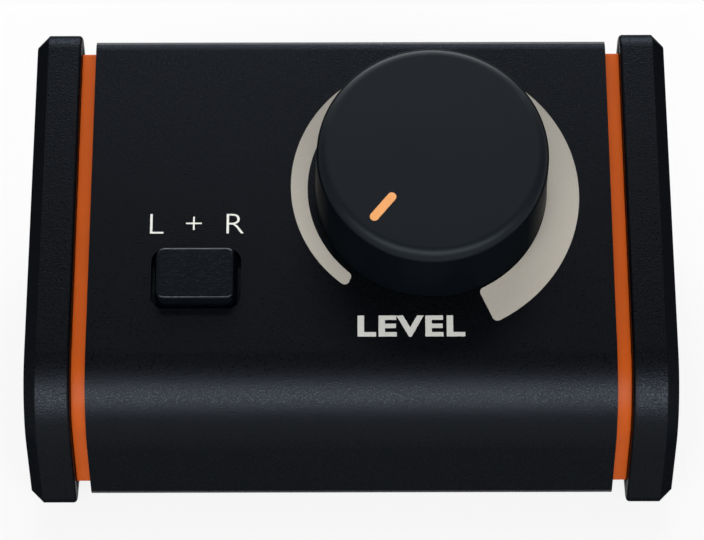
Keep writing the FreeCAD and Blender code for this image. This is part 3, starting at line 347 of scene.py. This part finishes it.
@finish
def tray_paint(recipe):
    fine = recipe.noise(TRAY_GRAIN, detail=0)
    rubbed = recipe.edge_mask(0.3 * MM) * recipe.noise(2 * MM, detail=3)
    recipe.surface(
        Base_Color=recipe.between(rubbed, BLACK, RUBBED_GREY),
        Roughness=0.44 + 0.14 * fine,
        Specular_IOR_Level=0.2,
        Normal=recipe.bump(fine, 0.05 * MM),
    )


# %% [markdown]
# ## Moulded plastics
# The cheeks are moulded in a tool whose walls were spark eroded, which leaves a fine, even, pitted
# grain. It takes the light as the coat does, so the coat's helpers serve again, in one layer, with pits
# added to the relief. The orange end plates come from a smoother tool and show faint flow marks along
# their length.

# %% Cheeks and end plates
CHEEK_GLOSS = (0.42, 0.42, 0.42)
PIT_SIZE = 0.42 * MM
PIT_SHARE = 0.5
ORANGE = (0.475, 0.077, 0.005)


@finish
def cheek_plastic(recipe):
    fine = recipe.noise(GRAIN, detail=0)
    pitted = fine + recipe.cells(PIT_SIZE) * PIT_SHARE
    recipe.surface(
        Base_Color=coat_gloss(recipe, fine, patch_size=12 * MM),
        Metallic=1.0,
        Specular_Tint=CHEEK_GLOSS,
        Roughness=coat_roughness(fine),
        Normal=recipe.bump(pitted, GRAIN_RELIEF, under=recipe.rounded(0.25 * MM)),
    )


@finish
def band_plastic(recipe):
    flow = recipe.noise(3 * MM, detail=4, stretch=(1, 6, 1))
    fine = recipe.noise(0.25 * MM, detail=1)
    recipe.surface(
        Base_Color=recipe.shades(flow, ORANGE, 0.10),
        Roughness=0.38 + 0.10 * fine,
        Specular_IOR_Level=0.16,
        Normal=recipe.bump(fine + flow, 0.02 * MM, under=recipe.rounded(0.3 * MM)),
    )


# %% [markdown]
# The knob has an even skin with no grain large enough to see. Its top and its roundings have a satin
# gloss, and its upright wall has almost none. So a satin and a matt layer are mixed by the angle of view:
# matt where the eye meets the wall, and satin again at the very edge, which keeps the far rim bright.

# %% The knob
KNOB_BLACK = (0.0021, 0.0031, 0.0045)
SATIN_TINT = (0.80, 0.92, 1.0)
MATT_START = 0.42
MATT_RISE = 5.0
MATT_MOST = 0.95
EDGE_FALL = 5.0


@finish
def knob_plastic(recipe):
    sheen = recipe.noise(6 * MM, detail=2)
    skin = recipe.noise(0.12 * MM, detail=1)
    colour = recipe.shades(sheen, KNOB_BLACK, 0.12)
    relief = recipe.bump(skin, 0.004 * MM)
    satin = recipe.shader(
        Base_Color=colour,
        Roughness=0.43 + 0.06 * sheen,
        Specular_IOR_Level=0.165,
        Specular_Tint=SATIN_TINT,
        Normal=relief,
    )
    matt = recipe.shader(Base_Color=colour, Roughness=0.9, Specular_IOR_Level=0.0, Normal=relief)
    facing = recipe.facing()
    wall = ((facing - MATT_START) * MATT_RISE).clamped(0.0, MATT_MOST)
    short_of_edge = ((1 - facing) * EDGE_FALL).clamped()
    recipe.blended(wall * short_of_edge, satin, matt)


# %% [markdown]
# The pointer is a strip of orange plastic let into the knob. The button's tool was polished by hand: its
# faces are glossier than the cheeks but not quite even, and the light breaks up along their edges.

# %% Pointer and button
POINTER_ORANGE = (0.565, 0.248, 0.080)
BUTTON_TINT = (0.8, 0.9, 1.0)


@finish
def pointer_plastic(recipe):
    flow = recipe.noise(1.5 * MM, detail=3)
    recipe.surface(
        Base_Color=recipe.shades(flow, POINTER_ORANGE, 0.08),
        Roughness=0.34 + 0.08 * flow,
        Normal=recipe.bump(flow, 0.01 * MM, under=recipe.rounded(0.15 * MM)),
    )


@finish
def button_plastic(recipe):
    uneven = recipe.noise(0.5 * MM, detail=3)
    fine = recipe.noise(GRAIN, detail=1)
    recipe.surface(
        Base_Color=recipe.shades(uneven, BLACK, 0.3),
        Roughness=0.14 + 0.20 * uneven,
        Specular_IOR_Level=0.25,
        Specular_Tint=BUTTON_TINT,
        Normal=recipe.bump(fine + uneven, 0.030 * MM),
    )


# %% [markdown]
# The socket bodies and the switch are filled with glass fibre, which draws faint lines along the flow.
# The switch's plunger is a milky plastic that lets a little light in, so it has some subsurface.

# %% Plastics inside and at the back
SOCKET_BLACK = (0.020, 0.020, 0.022)
SWITCH_BLACK = (0.045, 0.045, 0.050)
MILKY_DARK = (0.66, 0.65, 0.60)
MILKY_LIGHT = (0.80, 0.79, 0.74)


@finish
def jack_plastic(recipe):
    fibres = recipe.noise(0.3 * MM, detail=3, stretch=(1, 8, 1))
    recipe.surface(
        Base_Color=recipe.shades(fibres, SOCKET_BLACK, 0.35),
        Roughness=0.46 + 0.2 * fibres,
        Normal=recipe.bump(fibres, 0.02 * MM, under=recipe.rounded(0.2 * MM)),
    )


@finish
def switch_plastic(recipe):
    fibres = recipe.noise(0.4 * MM, detail=3, stretch=(1, 1, 5))
    recipe.surface(
        Base_Color=recipe.shades(fibres, SWITCH_BLACK, 0.3),
        Roughness=0.42 + 0.16 * fibres,
        Normal=recipe.bump(fibres, 0.015 * MM, under=recipe.rounded(0.2 * MM)),
    )


@finish
def plunger_plastic(recipe):
    cloud = recipe.noise(1.2 * MM, detail=3)
    recipe.surface(
        Base_Color=recipe.between(cloud, MILKY_DARK, MILKY_LIGHT),
        Roughness=0.38 + 0.1 * cloud,
        Subsurface_Weight=0.15,
        Subsurface_Scale=0.5 * MM,
        Normal=recipe.bump(cloud, 0.01 * MM, under=recipe.rounded(0.15 * MM)),
    )


# %% [markdown]
# ## Rubber, boards and parts on them
# The feet are soft rubber with a dusty bloom that gathers unevenly. The boards are glass laminate under a
# green lacquer, and copper tracks show through it as a lighter green. The resistors are dipped in
# lacquer and banded, with bright tinned leads.

# %% Feet
BARE_RUBBER = (0.010, 0.010, 0.010)
DUSTY_RUBBER = (0.035, 0.034, 0.032)


@finish
def foot_rubber(recipe):
    bloom = recipe.noise(2.5 * MM, detail=4, roughness=0.6)
    pores = recipe.noise(0.3 * MM, detail=2)
    recipe.surface(
        Base_Color=recipe.between(bloom, BARE_RUBBER, DUSTY_RUBBER),
        Roughness=0.72 + 0.2 * bloom,
        Specular_IOR_Level=0.3,
        Normal=recipe.bump(pores, 0.05 * MM),
    )


# %% Circuit boards
MASK_GREEN = (0.012, 0.085, 0.035)
TRACK_GREEN = (0.035, 0.190, 0.075)
TRACK_PITCH = 1.27 * MM
TRACK_HALF = 0.17
TRACK_BARRED = 0.52
TRACK_STRETCH = 6


def tracks(recipe, run, cross):
    """Lines a fixed pitch apart across one axis, each there only where a slow noise lets it be."""
    line = abs((recipe.along(cross) / TRACK_PITCH) % 1.0 - 0.5) < TRACK_HALF
    stretch = [1, 1, 1]
    stretch[run] = TRACK_STRETCH
    present = recipe.noise(3 * MM, detail=0, stretch=tuple(stretch)) > TRACK_BARRED
    return line * present


@finish
def circuit_board(recipe):
    copper = (tracks(recipe, 0, 1) + tracks(recipe, 1, 0)).clamped()
    weave = recipe.noise(0.5 * MM, detail=2)
    recipe.surface(
        Base_Color=recipe.between(copper, MASK_GREEN, TRACK_GREEN),
        Roughness=0.26 + 0.12 * weave,
        Coat_Weight=0.5,
        Normal=recipe.bump(copper * 0.6 + weave * 0.3, 0.035 * MM),
    )


# %% Resistors
BODY_HALF = 3.2 * MM
BAND_HALF = 0.28 * MM
LACQUER = (0.10, 0.22, 0.32)
LEAD_TIN = (0.62, 0.62, 0.60)
BAND_ORANGE = (0.35, 0.10, 0.02)
BAND_BLACK = (0.01, 0.01, 0.01)
BAND_RED = (0.30, 0.02, 0.02)
BAND_BROWN = (0.16, 0.06, 0.02)
BANDS = [
    (-2.3 * MM, BAND_ORANGE),
    (-1.2 * MM, BAND_BLACK),
    (-0.2 * MM, BAND_BLACK),
    (0.8 * MM, BAND_RED),
    (2.2 * MM, BAND_BROWN),
]
resistor_low, resistor_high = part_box("resistors")
resistor_middle = (resistor_low.y + resistor_high.y) / 2


@finish
def resistor_body(recipe):
    place = recipe.along(1) - resistor_middle
    skin = recipe.noise(0.8 * MM, detail=2)
    colour = recipe.shades(skin, LACQUER, 0.1)
    for middle, paint in BANDS:
        colour = recipe.between(abs(place - middle) < BAND_HALF, colour, paint)
    lead = abs(place) > BODY_HALF
    recipe.surface(
        Base_Color=recipe.between(lead, colour, LEAD_TIN),
        Metallic=lead,
        Roughness=0.24 + 0.1 * skin,
        Normal=recipe.bump(skin, 0.03 * MM),
    )


# %% [markdown]
# ## Metals
# Bright metal shows its making more than its colour: turned parts carry fine rings, plated and
# tinned ones a soft unevenness, blackened screws a rubbed, lighter rim. So each metal here has a
# roughness that varies with those marks, and relief only a few thousandths of a millimetre deep.

# %% Plated, tinned and turned metals
PLATED_GREY = (0.56, 0.57, 0.59)
TIN = (0.66, 0.65, 0.63)
NICKEL = (0.62, 0.60, 0.56)
BRASS = (0.66, 0.46, 0.18)
SHAFT_GREY = (0.60, 0.60, 0.61)
METAL_SPREAD = 0.08
METAL_EDGE = 0.12 * MM
TURNED = (8, 8, 1)
DRAWN = (1, 12, 1)


def metal(recipe, colour, marks, roughness, depth):
    """Bright metal whose colour, gloss and relief all follow the same marks."""
    recipe.surface(
        Base_Color=recipe.shades(marks, colour, METAL_SPREAD),
        Metallic=1.0,
        Roughness=roughness + 0.16 * marks,
        Normal=recipe.bump(marks, depth, under=recipe.rounded(METAL_EDGE)),
    )


@finish
def plated_steel(recipe):
    marks = recipe.noise(1.1 * MM, detail=4)
    metal(recipe, PLATED_GREY, marks, roughness=0.22, depth=0.01 * MM)


@finish
def tinned_metal(recipe):
    marks = recipe.noise(0.9 * MM, detail=3)
    metal(recipe, TIN, marks, roughness=0.16, depth=0.02 * MM)


@finish
def nickel_plate(recipe):
    marks = recipe.noise(0.5 * MM, stretch=DRAWN)
    metal(recipe, NICKEL, marks, roughness=0.14, depth=0.006 * MM)


@finish
def hub_brass(recipe):
    marks = recipe.noise(0.35 * MM, stretch=TURNED)
    metal(recipe, BRASS, marks, roughness=0.22, depth=0.01 * MM)


@finish
def shaft_metal(recipe):
    marks = recipe.noise(0.3 * MM, stretch=TURNED)
    metal(recipe, SHAFT_GREY, marks, roughness=0.24, depth=0.01 * MM)


# %% Blackened steel
SCREW_BLACK = (0.016, 0.016, 0.018)
SCREW_RIM = (0.20, 0.20, 0.21)
GRUB_BLACK = (0.022, 0.021, 0.020)
GRUB_RIM = (0.16, 0.15, 0.14)


def blackened(recipe, colour, rim, roughness):
    """Black oxide, worn through to a lighter rim along the edges."""
    worn = recipe.edge_mask(0.15 * MM) * recipe.noise(0.7 * MM, detail=3)
    cloud = recipe.noise(0.9 * MM, detail=3)
    recipe.surface(
        Base_Color=recipe.between(worn, colour, rim),
        Metallic=0.6,
        Roughness=roughness + 0.14 * cloud,
        Normal=recipe.bump(cloud, 0.01 * MM, under=recipe.rounded(METAL_EDGE)),
    )


@finish
def black_screw(recipe):
    blackened(recipe, SCREW_BLACK, SCREW_RIM, roughness=0.30)


@finish
def grub_steel(recipe):
    blackened(recipe, GRUB_BLACK, GRUB_RIM, roughness=0.36)


# %% [markdown]
# ## Hand the finishes out
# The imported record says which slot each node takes. One loop gives every node its material, and stops at
# the first slot without a finish.

# %% Give every node its finish
for row in frame["record"]["subparts"]:
    materials = frame["nodes"][row["node"]].data.materials
    materials.clear()
    materials.append(FINISHES[row["material_slot"]])

# %% [markdown]
# ## Screen print
# The dial ring and the words are ink pressed through a mesh: flat, matt, a warm light grey, a few
# hundredths of a millimetre thick. Ink is thinner over the tops of the powder grain, so it is a touch
# mottled. Each print is made as a real thin slab, sunk slightly into the paint, rather than drawn in the
# paint's material: its outline stays sharp at any distance, and it is a mesh like every other piece.
# There are three greys. The ring is the darkest, and the thin strokes are the lightest.

# %% The ink
INK_PROUD = 0.03 * MM
INK_SUNK = 0.01 * MM
RING_GREY = (0.287, 0.267, 0.230)
HEAVY_GREY = (0.425, 0.422, 0.392)
THIN_GREY = (0.540, 0.535, 0.500)


def ink(name, colour):
    recipe = Recipe(name)
    mottle = recipe.noise(0.5 * MM, detail=3)
    grain = recipe.noise(GRAIN, detail=1.5)
    recipe.surface(
        Base_Color=recipe.shades(mottle, colour, 0.06),
        Roughness=0.50 + 0.12 * mottle,
        Specular_IOR_Level=0.25,
        Normal=recipe.bump(grain, 0.012 * MM),
    )
    print(name, len(recipe.tree.nodes), "nodes")
    return recipe.material


ring_ink = ink("ring_ink", RING_GREY)
heavy_ink = ink("heavy_ink", HEAVY_GREY)
thin_ink = ink("thin_ink", THIN_GREY)

# %% Lay a print on the case


def add_print(name, mesh, matrix, material):
    """Lays flat work on the surface that the matrix stands for, as a piece of the case."""
    mesh.transform(matrix)
    mesh.materials.clear()
    mesh.materials.append(material)
    piece = bpy.data.objects.new(name, mesh)
    bpy.context.scene.collection.objects.link(piece)
    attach(piece, "case")
    print(name, len(mesh.polygons), "faces")


# %% [markdown]
# ## The dial ring
# The ring tells the level by its width: a crescent that grows steadily clockwise. Its inner edge is a
# circle just outside the knob, its outer edge a spiral, and its corners are rounded. A strip of faces from
# inner to outer edge, stepped along the angle, gives exactly that; near each end the two edges draw
# together along a quarter circle.

# %% The ring as a strip of faces
RING_INNER = 21.55 * MM
RING_OUTER = 25.93 * MM
RING_GROWTH = 0.01447 * MM
RING_START = -141.7
RING_END = 155.7
RING_CORNER = 0.9 * MM
RING_STEPS = 150
CORNER_STEPS = 10
RING_CENTRE = Vector((-0.60, 0.30)) * MM
SPIRAL_CENTRE = Vector((-0.51, 0.09)) * MM


def ring_angles():
    """Angles along the ring in degrees, closer together where the corners are rounded."""
    corner = degrees(RING_CORNER / RING_INNER)
    ease = [corner * (1 - cos(pi / 2 * step / CORNER_STEPS)) for step in range(CORNER_STEPS)]
    inside = RING_END - RING_START - 2 * corner
    even = [RING_START + corner + inside * step / RING_STEPS for step in range(RING_STEPS + 1)]
    first = [RING_START + angle for angle in ease]
    last = [RING_END - angle for angle in reversed(ease)]
    return first + even + last


def ring_edges(angle):
    """The inner and outer radius at an angle, drawn in by the rounded corners."""
    outer = RING_OUTER + RING_GROWTH * angle
    to_end = radians(min(angle - RING_START, RING_END - angle)) * RING_INNER
    left = max(RING_CORNER - to_end, 0)
    drawn = RING_CORNER - sqrt(RING_CORNER ** 2 - left ** 2)
    return RING_INNER + drawn, outer - drawn


def strip_slab(pairs, low, high):
    """A closed slab from pairs of points across a strip. Each row of it has four corners:
    near low, near high, far low and far high."""
    slab = bmesh.new()
    rows = []
    for near, far in pairs:
        rows.append([slab.verts.new((*point, z)) for point in (near, far) for z in (low, high)])
    for (a, b, c, d), (e, f, g, h) in zip(rows, rows[1:]):
        for face in ((b, d, h, f), (a, e, g, c), (a, b, f, e), (c, g, h, d)):
            slab.faces.new(face)
    for row in (rows[0], rows[-1]):
        slab.faces.new((row[0], row[1], row[3], row[2]))
    bmesh.ops.recalc_face_normals(slab, faces=slab.faces)
    mesh = bpy.data.meshes.new("strip")
    slab.to_mesh(mesh)
    slab.free()
    return mesh


def ring_points(angle):
    """The inner and outer point at an angle, which runs clockwise from the top of the panel."""
    towards = Vector((sin(radians(angle)), cos(radians(angle))))
    inner, outer = ring_edges(angle)
    return RING_CENTRE + towards * inner, SPIRAL_CENTRE + towards * outer


ring_strip = strip_slab([ring_points(angle) for angle in ring_angles()], -INK_SUNK, INK_PROUD)
add_print("dial_ring", ring_strip, panel, ring_ink)

# %% [markdown]
# ## Words
# Two plain words say what the controls do: a thin one over the button, which sums left and right, and a
# heavy one under the dial. Blender's own text object has the letters. Its outline can be fattened or
# thinned before it becomes a mesh, and the mesh is then scaled to a measured height and width.

# %% A word as a thin slab
DRAFT_THICKNESS = 0.01
CURVE_STEPS = 8
SAME_POINT = 1e-5


def word(name, text, height, width, weight, spacing, matrix, colour):
    """Letters of a measured size, centred on the matrix. Weight fattens or thins their outline."""
    curve = bpy.data.curves.new(name, "FONT")
    curve.body = text
    curve.offset = weight
    curve.space_character = spacing
    curve.extrude = DRAFT_THICKNESS
    curve.resolution_u = CURVE_STEPS
    draft = bpy.data.objects.new(name + "_draft", curve)
    mesh = bpy.data.meshes.new_from_object(draft)
    bpy.data.objects.remove(draft)
    slab = bmesh.new()
    slab.from_mesh(mesh)
    bmesh.ops.remove_doubles(slab, verts=slab.verts, dist=SAME_POINT)
    bmesh.ops.recalc_face_normals(slab, faces=slab.faces)
    low = Vector([min(vert.co[axis] for vert in slab.verts) for axis in range(3)])
    high = Vector([max(vert.co[axis] for vert in slab.verts) for axis in range(3)])
    wanted = (width, height, INK_PROUD + INK_SUNK)
    scale = Matrix.Diagonal([want / side for want, side in zip(wanted, high - low)]).to_4x4()
    centred = Matrix.Translation((-(low.x + high.x) / 2, -(low.y + high.y) / 2, -low.z))
    sunk = Matrix.Translation((0, 0, -INK_SUNK))
    bmesh.ops.transform(slab, matrix=matrix @ sunk @ scale @ centred, verts=slab.verts)
    slab.to_mesh(mesh)
    slab.free()
    add_print(name, mesh, Matrix.Identity(4), colour)


# %% The two words on the panel
BUTTON_WORD_UP = -6.53 * MM
LEVEL_WORD_UP = -26.23 * MM
LEVEL_WORD_RIGHT = -3.71 * MM

over_button = panel @ Matrix.Translation((button_right, BUTTON_WORD_UP, 0))
button_word = {"height": 3.8 * MM, "width": 16.8 * MM, "weight": -0.016, "spacing": 1.25}
word("button_word", "L + R", **button_word, matrix=over_button, colour=thin_ink)
under_dial = panel @ Matrix.Translation((LEVEL_WORD_RIGHT, LEVEL_WORD_UP, 0))
level_word = {"height": 4.0 * MM, "width": 19.0 * MM, "weight": 0.035, "spacing": 1.1}
word("level_word", "LEVEL", **level_word, matrix=under_dial, colour=heavy_ink)

# %% [markdown]
# ## Legends at the back
# The sockets are told apart by small printed letters above their nuts, on the flat rear wall. The frame
# gives each socket's middle and the wall's outer face, so each legend is centred over its own socket.

# %% Letters over the sockets
LEGEND_HEIGHT = 1.9 * MM
LEGEND_GAP = 2.2 * MM
LEGEND_SPACING = 1.05
LEGENDS = {
    "input_jack_left": ("IN L", 6.4),
    "input_jack_right": ("IN R", 6.6),
    "output_jack_left": ("OUT L", 9.0),
    "output_jack_right": ("OUT R", 9.2),
    "mini_jack": ("IN", 2.9),
}
tray_low, tray_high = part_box("chassis_tray")
nut_low, nut_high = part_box("jack_nuts")
legend_up = nut_high.z + LEGEND_GAP + LEGEND_HEIGHT / 2
rear_right = Vector((-1, 0, 0))
rear_up = Vector((0, 0, 1))
rear_out = Vector((0, 1, 0))

for node, (text, width) in LEGENDS.items():
    low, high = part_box(node)
    middle = Vector(((low.x + high.x) / 2, tray_high.y, legend_up))
    rear = standing(rear_right, rear_up, rear_out, middle)
    legend = {"height": LEGEND_HEIGHT, "width": width * MM, "weight": 0.0, "spacing": LEGEND_SPACING}
    word(node + "_legend", text, **legend, matrix=rear, colour=thin_ink)

# %% [markdown]
# ## Floor and sky
# The object stands on a plain pale floor. The floor is an ordinary matt surface for the light it passes
# on, but the camera, and polished things, see it mostly as an even near-white, with a little of the true
# surface left in so that the shadow stays. The sky is pale near the horizon and dim overhead, which keeps
# the black panel dark and brightens only the surfaces that glance away. It is paler behind the object
# than in front of it, because the rear bend and the far rim of the knob mirror what is behind them.

# %% The floor
FLOOR_HALF = 15.0
FLOOR_LEVEL = -0.02 * MM
PALE = (0.80, 0.80, 0.80)
SEEN_WHITE = (0.94, 0.94, 0.94)
SEEN_SHARE = 0.90
SPECKLE_SIZE = 4 * MM
SPECKLE_SPREAD = 0.01


def floor_finish():
    recipe = Recipe("pale_floor")
    speckle = recipe.noise(SPECKLE_SIZE, detail=2)
    matt = recipe.shader(Base_Color=recipe.shades(speckle, PALE, SPECKLE_SPREAD), Roughness=0.9)
    even = recipe.node("ShaderNodeEmission", {}, {"Color": SEEN_WHITE, "Strength": 1.0})
    kinds = ("Is Camera Ray", "Is Glossy Ray", "Is Transmission Ray")
    camera, glossy, through = (recipe.node("ShaderNodeLightPath", out=kind) for kind in kinds)
    seen = (camera + glossy + through).clamped() * SEEN_SHARE
    recipe.blended(seen, matt, even)
    return recipe.material


floor_mesh = bpy.data.meshes.new("floor")
signs = [(-1, -1), (1, -1), (1, 1), (-1, 1)]
corners = [(x * FLOOR_HALF, y * FLOOR_HALF, FLOOR_LEVEL) for x, y in signs]
floor_mesh.from_pydata(corners, [], [(0, 1, 2, 3)])
floor_mesh.materials.append(floor_finish())
floor = bpy.data.objects.new("floor", floor_mesh)
bpy.context.scene.collection.objects.link(floor)
print("floor", 2 * FLOOR_HALF, "m across")

# %% The sky
HORIZON = (0.93, 0.93, 0.93)
ZENITH = (0.14, 0.15, 0.17)
SIDE_SHARE = 0.35
HORIZON_WIDTH = 2.0


class SkyRecipe(Recipe):
    """The same tools, for the world instead of a material."""

    def __init__(self, world):
        world.use_nodes = True
        self.start(world.node_tree)


world = bpy.data.worlds.new("soft_sky")
bpy.context.scene.world = world
sky = SkyRecipe(world)
towards = sky.node("ShaderNodeTexCoord", out="Generated")
height = sky.node("ShaderNodeSeparateXYZ", inputs={0: towards}, out=2)
rearward = sky.node("ShaderNodeSeparateXYZ", inputs={0: towards}, out=1)
low_share = (1 - abs(height)).clamped() ** HORIZON_WIDTH
paleness = low_share * (SIDE_SHARE + rearward.clamped() * (1 - SIDE_SHARE))
sky_colour = sky.between(paleness, ZENITH, HORIZON)
backdrop = sky.node("ShaderNodeBackground", {}, {"Color": sky_colour, "Strength": 1.0})
sky.node("ShaderNodeOutputWorld", {}, {"Surface": backdrop})
print("sky", len(sky.tree.nodes), "nodes")

# %% [markdown]
# ## Three softboxes
# A wide low lamp in front draws the long soft highlight on the front bend and on the near rounding of
# the knob. A narrow lamp overhead, a little behind the place that the panel mirrors, gives the panel a
# sheen that grows towards its rear edge. A low lamp behind lights the small rear bend and the far rim of
# the knob, and gives the panel and its print between a tenth and a fifth of their light.
#
# The whole is stronger than a plain light. With every piece in one matt grey, the top renders at about
# 1.6 times that grey's written value, and the front at about 1.75 times. The finishes are written darker
# to suit, so under a plainer light the object comes out darker than it looks here.
#
# Each lamp's power follows from its area, so that a change of its size keeps its brightness.

# %% The softboxes
SOFTBOXES = {
    "front_softbox": dict(azimuth=0, elevation=34.5, distance=0.85, width=1.50, height=0.38, radiance=7.3),
    "top_softbox": dict(azimuth=180, elevation=72.0, distance=0.80, width=0.45, height=0.12, radiance=5.6),
    "rear_softbox": dict(azimuth=180, elevation=34.0, distance=0.50, width=0.50, height=0.42, radiance=6.1),
}


def softbox(name, azimuth, elevation, distance, width, height, radiance):
    """A rectangular lamp that faces the object. Angles in degrees, azimuth from the front.
    Radiance 1 would look as bright as a white page."""
    lamp = bpy.data.lights.new(name, "AREA")
    lamp.shape = "RECTANGLE"
    lamp.size = width
    lamp.size_y = height
    lamp.energy = radiance * pi * width * height
    stand = bpy.data.objects.new(name, lamp)
    turn = radians(azimuth)
    rise = radians(elevation)
    away = Vector((sin(turn) * cos(rise), -cos(turn) * cos(rise), sin(rise)))
    stand.location = away * distance
    stand.rotation_euler = away.to_track_quat("Z", "Y").to_euler()
    stand.visible_camera = False
    bpy.context.scene.collection.objects.link(stand)
    print(name, round(lamp.energy, 1), "W")


for name, settings in SOFTBOXES.items():
    softbox(name, **settings)

# %% [markdown]
# ## The camera
# A long lens from in front and well above, square to the box. It looks at the middle of the panel. The
# frame is 704 by 540 pixels, and the long side sets the field of view.

# %% Place the camera
LENS = 139.65
SENSOR = 36.0
CAMERA_ELEVATION = 48.0
CAMERA_DISTANCE = 486.2 * MM
CAMERA_ROLL = 0.12
LOOK_AT = Vector((0.16, -8.985, 35.092)) * MM
NEAREST = 0.05
FARTHEST = 50.0

lens = bpy.data.cameras.new("camera")
lens.lens = LENS
lens.sensor_width = SENSOR
lens.sensor_fit = "HORIZONTAL"
lens.clip_start = NEAREST
lens.clip_end = FARTHEST
camera = bpy.data.objects.new("camera", lens)
rise = radians(CAMERA_ELEVATION)
back = Vector((0, -cos(rise), sin(rise)))
level_right = Vector((1, 0, 0))
level_up = back.cross(level_right)
tilt = radians(-CAMERA_ROLL)
right = level_right * cos(tilt) + level_up * sin(tilt)
camera.matrix_world = standing(right, back.cross(right), back, LOOK_AT + back * CAMERA_DISTANCE)
bpy.context.scene.collection.objects.link(camera)
bpy.context.scene.camera = camera
print("camera", [round(value / MM, 1) for value in camera.matrix_world.translation], "mm")

# %% [markdown]
# ## Colour
# Colours are shown as they are, with the Standard view.

# %% Finish
bpy.context.scene.view_settings.view_transform = "Standard"
